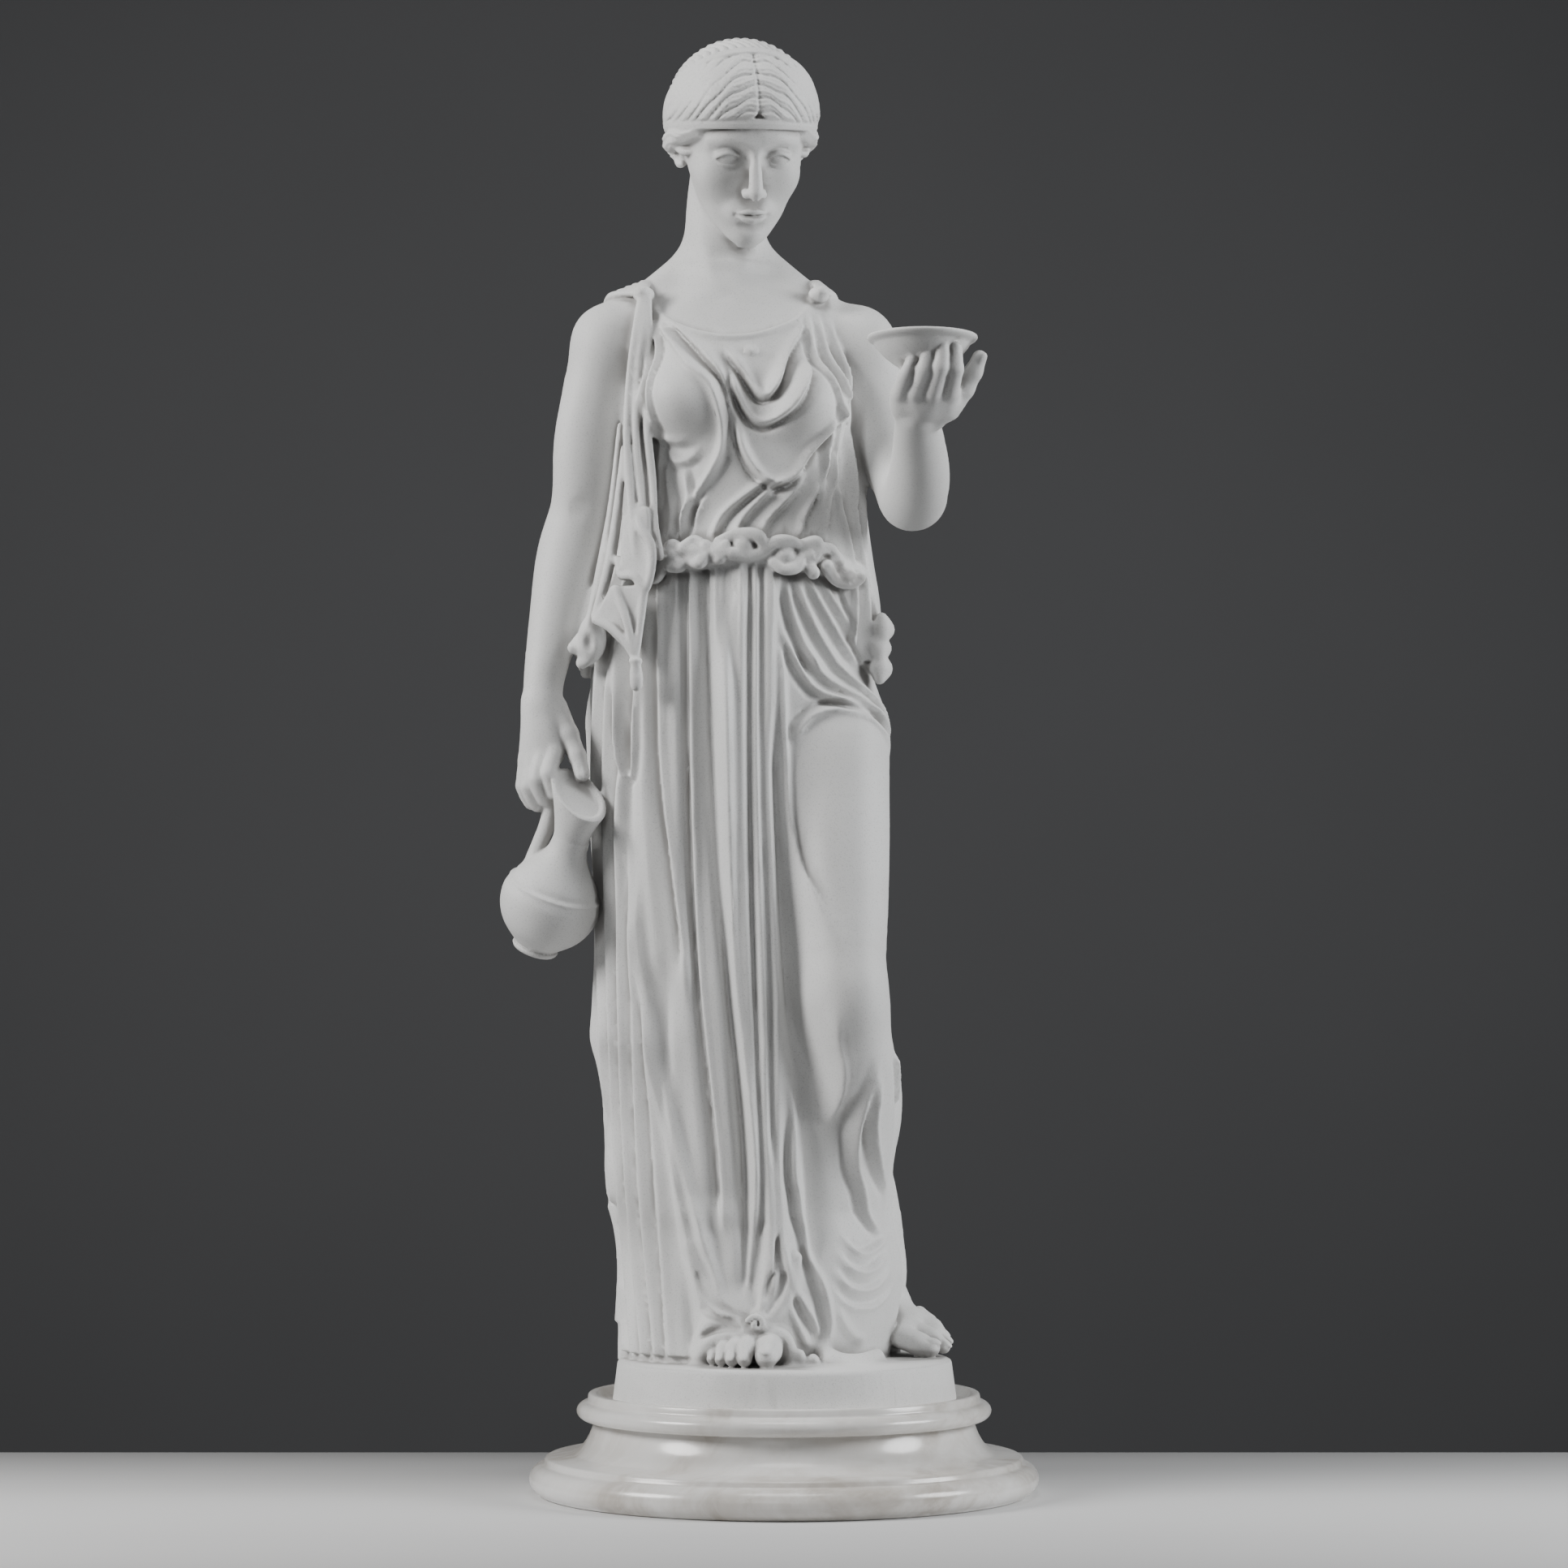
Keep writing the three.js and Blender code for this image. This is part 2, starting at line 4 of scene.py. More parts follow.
import bpy
import numpy as np
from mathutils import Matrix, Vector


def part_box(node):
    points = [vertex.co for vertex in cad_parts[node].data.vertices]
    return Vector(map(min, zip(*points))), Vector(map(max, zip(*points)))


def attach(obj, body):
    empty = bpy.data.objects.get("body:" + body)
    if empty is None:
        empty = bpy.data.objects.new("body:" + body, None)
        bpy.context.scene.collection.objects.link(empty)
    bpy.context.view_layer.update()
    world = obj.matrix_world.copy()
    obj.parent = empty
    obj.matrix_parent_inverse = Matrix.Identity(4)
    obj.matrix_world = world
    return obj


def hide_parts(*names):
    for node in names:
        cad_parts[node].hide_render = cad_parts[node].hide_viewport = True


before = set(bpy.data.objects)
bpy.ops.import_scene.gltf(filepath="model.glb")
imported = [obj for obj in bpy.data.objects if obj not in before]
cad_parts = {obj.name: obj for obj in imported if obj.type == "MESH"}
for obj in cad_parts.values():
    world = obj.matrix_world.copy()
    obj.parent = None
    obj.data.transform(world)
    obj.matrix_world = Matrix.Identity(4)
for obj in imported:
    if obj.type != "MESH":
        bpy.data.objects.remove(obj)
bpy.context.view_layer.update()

import openvdb
from mathutils import Vector

MM = 0.001
TURN = 2 * math.pi
FAR = 40.0

# ---- Sizes, in millimetres, and settings -------------------------------------------------------

BASE_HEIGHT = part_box("base")[1][2] / MM
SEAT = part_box("figure")[0][2] / MM         # the figure's plinth stands here, in the base's recess
GROUND = SEAT + 20                         # top of the plinth
PLINTH_RADIUS = 82.5
WAIST = 445.0
GRAIN = 1.0         # voxel size of the body
FINE = 0.45         # voxel size of the head, hands and feet
FIGURE_TRIANGLES = 198000
LONGEST_STEP = 0.6                         # how far a point may move at a time to the surface
TURN_STEPS = 1440                          # steps round a column of cloth
TINY = 1e-6


# ---- Clay: a block of voxels to model in -------------------------------------------------------

def mix(a, b, t):
    return a + (b - a) * t


def ease(t):
    t = np.clip(t, 0, 1)
    return t * t * (3 - 2 * t)


def unit(v):
    v = np.array(v, float)
    return v / np.linalg.norm(v)


def smooth_min(a, b, blend):
    h = np.clip(0.5 + 0.5 * (b - a) / blend, 0, 1)
    return b + (a - b) * h - blend * h * (1 - h)


def smooth_max(a, b, blend):
    return -smooth_min(-a, -b, blend)


def lookup(rows, at):
    """Smooth values at heights `at` from a table whose rows start with their height."""
    rows = np.array(rows, float)
    heights, values = rows[:, 0], rows[:, 1:]
    slopes = np.gradient(values, heights, axis=0)
    at = np.clip(np.atleast_1d(at), heights[0], heights[-1])
    i = np.clip(np.searchsorted(heights, at, side="right") - 1, 0, len(heights) - 2)
    span = heights[i + 1] - heights[i]
    t = ((at - heights[i]) / span)[:, None]
    a, b = values[i], values[i + 1]
    ma, mb = slopes[i] * span[:, None], slopes[i + 1] * span[:, None]
    return (mix(a, b, t * t * (3 - 2 * t)) + ma * t * (1 - t) ** 2 - mb * t * t * (1 - t)).T


def curve(points, steps=6):
    """A smooth path through points of any dimension."""
    p = np.array(points, float)
    if len(p) == 2:
        return mix(p[0], p[1], np.linspace(0, 1, steps + 1)[:, None])
    p = np.vstack([2 * p[0] - p[1], p, 2 * p[-1] - p[-2]])
    t = np.linspace(0, 1, steps, endpoint=False)[:, None]
    out = []
    for a, b, c, d in zip(p, p[1:], p[2:], p[3:]):
        out.append(0.5 * (2 * b + (c - a) * t + (2 * a - 5 * b + 4 * c - d) * t ** 2
                          + (3 * b - a - 3 * c + d) * t ** 3))
    return np.vstack(out + [p[-2:-1]])


class Clay:
    """Distance to the surface in a block of voxels, negative inside the form."""

    def __init__(self, low, high, grain):
        self.low = np.array(low, np.float32)
        self.grain = float(grain)
        count = np.ceil((np.array(high) - self.low) / grain).astype(int) + 1
        self.field = np.full(count, FAR, np.float32)

    def window(self, low, high):
        shape = self.field.shape
        first = [int(np.clip(math.floor((low[i] - self.low[i]) / self.grain), 0, shape[i]))
                 for i in range(3)]
        last = [int(np.clip(math.ceil((high[i] - self.low[i]) / self.grain) + 1, first[i], shape[i]))
                for i in range(3)]
        axes = []
        for i in range(3):
            line = self.low[i] + self.grain * np.arange(first[i], last[i], dtype=np.float32)
            axes.append(line.reshape([-1 if k == i else 1 for k in range(3)]))
        return tuple(slice(f, l) for f, l in zip(first, last)), axes

    def place(self, low, high, distance, blend, cut=False):
        """Joins a form to the clay inside a box, or cuts it away."""
        span, (x, y, z) = self.window(low, high)
        if 0 in self.field[span].shape:
            return
        d = distance(x, y, z).astype(np.float32)
        old = self.field[span]
        self.field[span] = smooth_max(old, -d, blend) if cut else smooth_min(old, d, blend)

    def ball(self, centre, radii, blend, cut=False, turned=None):
        """An ellipsoid. `turned` holds its three axes as rows."""
        c, r = np.array(centre, float), np.array(radii, float)
        reach = r if turned is None else np.full(3, r.max())
        margin = blend + 4

        def distance(x, y, z):
            p = (x - c[0], y - c[1], z - c[2])
            if turned is not None:
                p = [sum(p[k] * float(axis[k]) for k in range(3)) for axis in turned]
            k0 = np.sqrt(sum((p[i] / r[i]) ** 2 for i in range(3)))
            k1 = np.sqrt(sum((p[i] / r[i] ** 2) ** 2 for i in range(3))) + TINY
            return k0 * (k0 - 1) / k1

        self.place(c - reach - margin, c + reach + margin, distance, blend, cut)

    def reach_along(self, path, radii, margin):
        """Distance to a round path in its window: the span, and the distance there."""
        path, radii = np.array(path), np.array(radii)
        rims = np.maximum(radii[:-1], radii[1:]) + margin
        lows = np.minimum(path[:-1], path[1:]) - rims[:, None]
        highs = np.maximum(path[:-1], path[1:]) + rims[:, None]
        span, _ = self.window(lows.min(0), highs.max(0))
        near = np.full(self.field[span].shape, FAR, np.float32)
        offset = [s.start for s in span]
        for a, b, ra, rb, low, high in zip(path, path[1:], radii, radii[1:], lows, highs):
            sub, (x, y, z) = self.window(low, high)
            inner = tuple(slice(s.start - o, s.stop - o) for s, o in zip(sub, offset))
            if 0 in near[inner].shape:
                continue
            d = b - a
            length = float(d @ d) + 1e-9
            px, py, pz = x - a[0], y - a[1], z - a[2]
            t = np.clip((px * d[0] + py * d[1] + pz * d[2]) / length, 0, 1)
            away = np.sqrt((px - t * d[0]) ** 2 + (py - t * d[1]) ** 2 + (pz - t * d[2]) ** 2)
            near[inner] = np.minimum(near[inner], away - mix(ra, rb, t))
        return span, near

    def tube(self, stations, blend, steps=5):
        """A round limb through stations [x, y, z, radius]."""
        s = curve(stations, steps)
        span, near = self.reach_along(s[:, :3], s[:, 3], blend + 4)
        self.field[span] = smooth_min(self.field[span], near, blend)

    def stroke(self, points, width, height, taper=True):
        """Raises (or with a negative height sinks) the surface along a path."""
        path = curve(points, 5)
        margin = width * 2.4
        span, near = self.reach_along(path, np.zeros(len(path)), margin)
        if 0 in near.shape:
            return
        lift = height * np.exp(-(near / width) ** 2)
        if taper:
            middle = path[len(path) // 2]
            half = np.linalg.norm(path - middle, axis=1).max() + TINY
            _, (x, y, z) = self.window(path.min(0) - margin, path.max(0) + margin)
            away = np.sqrt((x - middle[0]) ** 2 + (y - middle[1]) ** 2 + (z - middle[2]) ** 2)
            lift = lift * ease((half * 1.15 - away) / (half * 0.5))
        self.field[span] -= lift.astype(np.float32)

    def carve(self, low, high, lift):
        """Raises the surface by lift(x, y, z), worked out only within 3 mm of it."""
        span, axes = self.window(low, high)
        block = self.field[span]
        near = np.abs(block) < 3.0
        x, y, z = (np.broadcast_to(a, block.shape)[near] for a in axes)
        block[near] -= lift(x, y, z).astype(np.float32)

    def lathe(self, foot, axis, rows, blend, edge, cut=False):
        """A turned form: `rows` give its radius by height along the axis from the foot.

        `edge` rounds the rims at its two ends.
        """
        foot, axis = np.array(foot, float), unit(axis)
        low, high = rows[0][0], rows[-1][0]
        tops = np.linspace(low, high, 200)
        radii = lookup(rows, tops)[0]
        slopes = np.gradient(radii, tops)
        ends = np.array([foot + axis * low, foot + axis * high])
        margin = radii.max() + blend + 4

        def distance(x, y, z):
            px, py, pz = x - foot[0], y - foot[1], z - foot[2]
            h = px * axis[0] + py * axis[1] + pz * axis[2]
            r = np.sqrt(np.maximum(px * px + py * py + pz * pz - h * h, 0))
            slope = np.clip(np.interp(h, tops, slopes), -6, 6)
            d = (r - np.interp(h, tops, radii)) / np.sqrt(1 + slope ** 2)
            return smooth_max(smooth_max(d, low - h, edge), h - high, edge)

        self.place(ends.min(0) - margin, ends.max(0) + margin, distance, blend, cut)

    def sample(self, points):
        """The distance at any points, by linear interpolation between voxels."""
        p = (points - self.low) / self.grain
        shape = np.array(self.field.shape)
        p = np.clip(p, 0, shape - 1.001)
        i = p.astype(np.int32)
        f = (p - i).astype(np.float32)
        flat = self.field.reshape(-1)
        sy, sx = shape[2], shape[1] * shape[2]
        base = i[:, 0].astype(np.int64) * sx + i[:, 1] * sy + i[:, 2]
        total = np.zeros(len(points), np.float32)
        for dx in (0, 1):
            wx = f[:, 0] if dx else 1 - f[:, 0]
            for dy in (0, 1):
                wy = f[:, 1] if dy else 1 - f[:, 1]
                for dz in (0, 1):
                    wz = f[:, 2] if dz else 1 - f[:, 2]
                    total += wx * wy * wz * flat[base + dx * sx + dy * sy + dz]
        return total

    def holds(self, points):
        """Which points lie well inside the block."""
        p = (points - self.low) / self.grain
        return np.all((p > 1) & (p < np.array(self.field.shape) - 2), axis=1)


# ---- Cloth: folds over a draped column ---------------------------------------------------------

class Column:
    """A draped column: an oval section by height, with folds standing out of it."""

    def __init__(self, rows, low, high):
        self.heights = np.arange(low, high + 1, 1.0)
        self.turns = np.linspace(-math.pi, math.pi, TURN_STEPS + 1)
        left, right, front, back = lookup(rows, self.heights)
        self.cx, self.cy = (left + right) / 2, (front + back) / 2
        self.half_x, self.half_y = (right - left) / 2, (back - front) / 2
        self.relief = np.zeros((len(self.heights), len(self.turns)), np.float32)
        radius = np.sqrt((self.half_x[:, None] * np.cos(self.turns)) ** 2
                         + (self.half_y[:, None] * np.sin(self.turns)) ** 2)
        step = np.diff(self.turns)[0]
        run = np.cumsum(radius, axis=1) * step
        front = TURN_STEPS // 2
        self.run = (run - run[:, [front]]).astype(np.float32)   # arc length round from the front
        self.level = np.broadcast_to(self.heights[:, None], self.run.shape)

    def row(self, z):
        return np.clip(np.round(np.array(z, float) - self.heights[0]), 0,
                       len(self.heights) - 1).astype(int)

    def turn_of(self, x, z):
        """Where a point of the front, x to the side at height z, lies round the column."""
        i = self.row(z)
        return np.arcsin(np.clip((np.array(x, float) - self.cx[i]) / self.half_x[i], -1, 1))

    def run_of(self, turn, z):
        """The arc length from the front to a turn at height z."""
        i = self.row(z)
        k = (np.array(turn, float) + math.pi) / TURN * TURN_STEPS
        k = np.clip(k, 0, TURN_STEPS)
        j = np.minimum(k.astype(int), TURN_STEPS - 1)
        return mix(self.run[i, j], self.run[i, j + 1], k - j)

    def fold(self, guide, width, height, keen=2.0, ends=(30.0, 30.0), back=False, span=None):
        """A fold down the cloth. `guide` holds (x, z) in front, or (turn, z) behind.

        It fades out over the lengths in `ends` at its top and foot, or, where `span` gives the
        heights of its foot and top, over a short stretch there. A pair of widths is for its left
        and right sides.
        """
        guide = sorted(guide, key=lambda p: p[1])
        across, z = np.array(guide, float).T
        first, last = self.row(z[0] - 1), self.row(z[-1] + 1)
        levels = self.heights[first:last + 1]
        if len(guide) > 2:
            path = lookup(np.column_stack([z, across]), levels)[0]
        else:
            path = np.interp(levels, z, across)
        if not back:
            path = self.turn_of(path, levels)
        centre = self.run_of(path, levels)
        fade = np.ones(len(levels))
        if span:
            foot, top = span
            if foot > z[0]:            # from 8 below the foot to 14 above it
                fade *= ease((levels - foot + 8) / 22)
            if top < z[-1]:            # from 20 above the top to 20 below it
                fade *= ease((top + 20 - levels) / 40)
        else:
            if ends[1]:
                fade *= ease((levels - z[0]) / ends[1])
            if ends[0]:
                fade *= ease((z[-1] - levels) / ends[0])
        away = self.run[first:last + 1] - centre[:, None]
        left, right = width if isinstance(width, tuple) else (width, width)
        reach = np.where(away < 0, left, right)
        lift = np.exp(-np.abs(away / reach) ** keen) * (height * fade)[:, None]
        self.relief[first:last + 1] += lift.astype(np.float32)

    def crease(self, points, width, height, keen, taper=0.25, trough=None):
        """A fold in any direction over the front, through (x, z) points.

        `trough` adds a hollow beside it: how far to its left, going along, how deep and how wide.
        """
        p = np.array(points, float)
        turn = self.turn_of(p[:, 0], p[:, 1])
        plane = np.column_stack([self.run_of(turn, p[:, 1]), p[:, 1]])
        path = curve(plane, 6)
        reach = width * 3
        first, last = self.row(path[:, 1].min() - reach), self.row(path[:, 1].max() + reach) + 1
        s, z = self.run[first:last], self.level[first:last]
        left, right = path[:, 0].min() - reach, path[:, 0].max() + reach
        columns = np.where((s.max(0) > left) & (s.min(0) < right))[0]
        if not len(columns):
            return
        pick = slice(columns[0], columns[-1] + 1)
        s, z = s[:, pick], z[:, pick]
        near = np.full(s.shape, np.inf, np.float32)
        place, hand = np.zeros(s.shape, np.float32), np.ones(s.shape, np.float32)
        for k, (a, b) in enumerate(zip(path, path[1:])):
            d = b - a
            t = np.clip(((s - a[0]) * d[0] + (z - a[1]) * d[1]) / (d @ d + 1e-9), 0, 1)
            away = np.hypot(s - a[0] - t * d[0], z - a[1] - t * d[1])
            closer = away < near
            near = np.where(closer, away, near)
            place = np.where(closer, (k + t) / (len(path) - 1), place)
            hand = np.where(closer, np.sign(d[0] * (z - a[1]) - d[1] * (s - a[0])), hand)
        fade = ease(place / taper) * ease((1 - place) / taper) if taper else 1.0
        lift = height * np.exp(-(near / width) ** keen)
        if trough:
            left, depth, reach = trough
            lift = lift - depth * np.exp(-((near * hand - left) / reach) ** 2)
        self.relief[first:last, pick] += lift * fade

    def onto(self, clay, blend, low, high, hem=None, collar=None, under=None, soft=8.0):
        """Lays the cloth on the clay between two heights or edges, over the forms in `under`."""
        margin = 26 if under is not None else 12
        x_low, x_high = (self.cx - self.half_x).min() - margin, (self.cx + self.half_x).max() + margin
        y_low, y_high = (self.cy - self.half_y).min() - margin, (self.cy + self.half_y).max() + margin
        span, (x, y, z) = clay.window((x_low, y_low, low - 6), (x_high, y_high, high + 6))
        x, y = x[:, :, 0], y[:, :, 0]
        for k, level in enumerate(z.ravel()):
            at = np.clip(level - self.heights[0], 0, len(self.heights) - 1.001)
            i, f = int(at), at - int(at)
            cx, cy = mix(self.cx[i], self.cx[i + 1], f), mix(self.cy[i], self.cy[i + 1], f)
            u = (x - cx) / mix(self.half_x[i], self.half_x[i + 1], f)
            v = (y - cy) / mix(self.half_y[i], self.half_y[i + 1], f)
            turn = np.arctan2(u, -v)
            rho = np.sqrt(u * u + v * v) + TINY
            d = np.hypot(x - cx, y - cy) * (1 - 1 / rho)
            if under is not None:
                d = smooth_min(d, under.field[span[0], span[1], span[2].start + k], soft)
            d = d - np.interp(turn, self.turns, mix(self.relief[i], self.relief[i + 1], f))
            d = smooth_max(d, (low if hem is None else hem(turn)) - level, 1.5)
            d = smooth_max(d, level - (high if collar is None else collar(x, y)), 1.5)
            layer = clay.field[span[0], span[1], span[2].start + k]
            layer[...] = smooth_min(layer, d.astype(np.float32), blend)


# ---- The body under the cloth, and the bare shoulders and arms ---------------------------------

def body(clay):
    """Neck, chest and shoulders, which show above the blouse."""
    chest = [(540, -71, 31, -33, 37), (556, -70, 30, -29, 36), (568, -66, 26, -23, 33),
             (578, -56, 14, -16, 28), (588, -46, -10, -9, 24)]
    Column(chest, 530, 590).onto(clay, 1.0, 530, 588)
    clay.ball((-28, 5, 560), (50, 24, 22), blend=10)
    for side in (-1, 1):
        shoulder = -28 + side * 59
        clay.tube([(-28, 12, 606, 13), (-28 + side * 18, 10, 590, 13), (-28 + side * 38, 7, 572, 14),
                   (shoulder, 4, 558, 15)], blend=9)
    clay.tube([(-28, 8, 566, 26), (-29, 8, 585, 21.5), (-29.5, 7, 603, 19), (-29, 5, 622, 18.6),
               (-27, 3, 640, 18.6)], blend=9)
    for side in (-1, 1):               # the neck's long muscles and the collar bones
        clay.stroke([(-29 + side * 16, 2, 622), (-28 + side * 9, -10, 598), (-28 + side * 3, -17, 577)],
                    4.5, 1.0)
        clay.stroke([(-28 + side * 5, -18, 575), (-28 + side * 24, -18, 577), (-28 + side * 42, -10, 581)],
                    4.0, 0.9)
    clay.stroke([(-28, -19, 577), (-28, -17, 573)], 4.0, -1.2, taper=False)


def lowered_arm(clay):
    """The right arm, hanging a little away from the hip."""
    clay.ball((-85, 4, 552), (17.5, 19, 21), blend=8)
    clay.tube([(-84, 4, 556, 16), (-90.5, 4, 535, 17), (-94, 5, 510, 16.3), (-96, 6, 488, 16),
               (-99.5, 6, 468, 15.6), (-104.5, 5, 448, 14.8), (-109.5, 2, 428, 13.4),
               (-113.5, -3, 406, 11.3), (-116, -7, 390, 9.6), (-116.6, -9, 378, 9.2)], blend=6)
    clay.ball((-99, -3, 500), (11, 9, 26), blend=10)
    clay.ball((-106, 6, 444), (12, 11, 26), blend=10)
    clay.stroke([(-95, -11, 478), (-101, -11.5, 470)], 5, -0.8)


def raised_arm(clay):
    """The left arm, bent at the elbow to bring the bowl forward."""
    clay.ball((38, 4, 551), (17.5, 19, 21), blend=8)
    clay.tube([(36, 4, 556, 16), (43, 2, 533, 17), (50, -5, 508, 16.2), (57, -15, 488, 15.6),
               (61.5, -26, 477, 14.8)], blend=6)
    clay.tube([(61.5, -24, 478, 14.6), (63.5, -40, 479, 15), (64, -58, 486, 14), (63, -78, 495, 12),
               (61.7, -97, 502, 10.2), (61.5, -104, 504, 9.4)], blend=6)
    clay.ball((62, -25, 474), (13, 12, 12), blend=6)


def turns_behind(right, left, count):
    """Turns spread round the back, between one at the right side and one at the left."""
    turns = np.linspace(right, TURN - left, count)
    return np.where(turns < math.pi, turns, turns - TURN)


# ---- The skirt ---------------------------------------------------------------------------------

# Height, then left, right, front and back of the skirt's section.
SKIRT = [
    (60, -76, 40, -44, 58), (70, -76, 44, -44, 59), (82, -75.5, 49, -43, 60), (95, -75, 52.5, -42, 61),
    (106, -75, 53.5, -42, 61), (118, -76, 50, -41, 61), (127, -77.5, 46, -40, 60),
    (134, -79.5, 43.5, -40, 60),
    (142, -82, 46, -39, 59), (152, -83, 47, -39, 59), (165, -83, 51, -39, 58), (180, -83.5, 53.5, -39, 58),
    (192, -85, 53.5, -39, 57), (205, -87.5, 51.5, -39, 56), (216, -90.5, 48.5, -39, 56),
    (230, -90, 45, -39, 55), (252, -89, 44, -39, 55), (290, -89.5, 45, -39, 54), (330, -92, 44.5, -40, 53),
    (352, -93, 43.5, -40, 53), (370, -94, 41.5, -40, 53), (400, -93, 41, -40, 52), (425, -86, 40, -39, 48),
    (447, -73, 37, -36, 42), (472, -62, 32, -32, 36),
]

# Front ridges, left to right: x at five heights from the waist to the hem, then width, height,
# and the heights where the ridge fades in below the waist and ends above the hem.
LEVELS = (445, 347, 250, 151, 69)
RIDGES = [
    ((-84, -90, -87, -81.5, -74.5), 2.6, 3.6, 445, 60),
    ((-79, -84, -82, -77.5, -70), 2.4, 3.8, 400, 60),
    ((-75, -77, -76.5, -73, -65), 2.6, 3.8, 330, 60),
    ((-79, -76, -67, -49, -33), 2.4, 4.0, 420, 88),
    ((-72, -70, -64, -43.5, -20), 2.2, 4.2, 285, 88),
    ((-66, -66, -58, -46, -40), 4.2, 3.0, 445, 245),
    ((-70, -71, -70, -67, -59), 3.2, 3.8, 262, 60),
    ((-66, -66, -64, -58, -52), 3.0, 3.4, 215, 60),
    ((-58, -58, -53, -49, -46), 4.0, 2.4, 230, 60),
    ((-57.5, -56.5, -44.5, -40, -36), 2.2, 3.2, 445, 240),
    ((-51, -50, -46, -38, -34), 3.6, 2.6, 445, 110),
    ((-44, -43, -39, -29, -26), 1.9, 3.8, 445, 128),
    ((-34, -28.5, -31, -24, -22), 4.0, 2.4, 445, 95),
    ((-28.5, -26, -23, -13.8, -20), 2.0, 4.2, 400, 88),
    ((-20.5, -20.5, -18, -11, -9), 3.0, 2.8, 445, 130),
    ((-14, -13.7, -11.3, -8, -4), 2.0, 3.2, 445, 90),
    ((-7.5, -7.6, -4.5, -3, 2), 3.4, 3.6, 445, 92),
]
# Hollows between them, given in the same way.
HOLLOWS = [
    ((-81.5, -87, -84.5, -79.5, -72), 1.6, 2.8, 440, 64),
    ((-77, -80.5, -79.5, -75.2, -67.5), 1.6, 3.0, 380, 64),
    ((-73, -73.5, -73, -69.8, -62), 1.8, 3.2, 440, 64),
    ((-68, -68.5, -67, -62.5, -55.5), 1.7, 3.0, 250, 64),
    ((-61.5, -60.5, -48, -45, -42), 1.9, 4.4, 445, 250),
    ((-60, -60, -56, -52, -42), 3.0, 2.2, 240, 70),
    ((-46.5, -46, -41.5, -31.5, -30), 2.0, 4.6, 445, 133),
    ((-38, -35, -27.5, -18.5, -19), 2.9, 5.0, 445, 92),
    ((-16.4, -16.4, -14.4, -10.8, -9), 1.7, 3.0, 445, 115),
    ((-11.3, -11.6, -8, -5.5, -1), 1.4, 2.4, 445, 160),
    ((-5, -3.5, 2.5, 12.5, 15), 4.2, 5.4, 360, 108),
]


def skirt():
    cloth = Column(SKIRT, 60, 474)
    # a ridge is broad on its left and steep on its right, a hollow the other way round
    for sign, left, right, rows in ((1, 1.9, 1.05, RIDGES), (-1, 1.0, 1.6, HOLLOWS)):
        for places, width, height, top, foot in rows:
            guide = list(zip(places, LEVELS))
            cloth.fold(guide, (left * width, right * width), sign * height, keen=1.6, span=(foot, top))
    for k, x in enumerate(np.linspace(-64, -3, 22)):        # short gathers under the waist roll
        length = 26 + 34 * math.sin(k * 2.4) ** 2
        guide = [(x, WAIST), (x * 1.01 - 0.4, WAIST - length)]
        cloth.fold(guide, 1.0, 1.0 + 0.5 * math.sin(k * 1.3), keen=1.6, ends=(0, length * 0.8))
    hip_folds(cloth)
    thigh_folds(cloth)
    shin_folds(cloth)
    back_folds(cloth)
    return cloth


def hip_folds(cloth):
    """A hanging loop at the right hip, and folds fanning from the waist to the left hip."""
    loop = [(-80, 410), (-78.5, 380), (-75.5, 350), (-72.5, 342), (-70, 348), (-69.5, 375), (-68, 400)]
    cloth.crease(loop, 1.8, 2.8, keen=1.7, trough=(-2.6, 1.6, 1.8))
    cloth.crease([(-76, 385), (-74.5, 360), (-72.5, 352)], 1.5, -2.0, keen=1.7)
    fan = [((1, 438), (3, 420), (9, 403), (16, 389)), ((4, 440), (9, 424), (17, 407), (27, 392)),
           ((9, 440), (17, 424), (26, 408), (36, 392)), ((14, 440), (24, 424), (33, 410), (40, 400)),
           ((-2, 414), (4, 398), (13, 384), (26, 376), (37, 366)),
           ((6, 408), (16, 392), (28, 380), (38, 368), (44, 357)),
           ((20, 401), (30, 388), (38, 376), (43, 366))]
    for points in fan:
        cloth.crease(points, 2.0, 3.0, keen=1.6, taper=0.22, trough=(-2.8, 1.7, 2.0))


def thigh_folds(cloth):
    """The edge of cloth drawn round the thigh, and the crease over its top."""
    cloth.crease([(-1.5, 432), (-1.5, 396), (0, 360), (2, 325), (5, 298), (8, 278), (12, 256)], 2.2, 3.6,
                 keen=1.6, taper=0.3, trough=(3.4, 0.5, 2.6))
    cloth.crease([(3, 350), (8, 367), (18, 374), (29, 370.5), (37, 361), (42.5, 349)], 1.7, 2.6, keen=1.7,
                 taper=0.25, trough=(2.8, 2.2, 1.5))
    cloth.crease([(8, 371), (18, 379), (30, 376), (40, 364)], 1.8, 1.6, keen=1.8, taper=0.3)


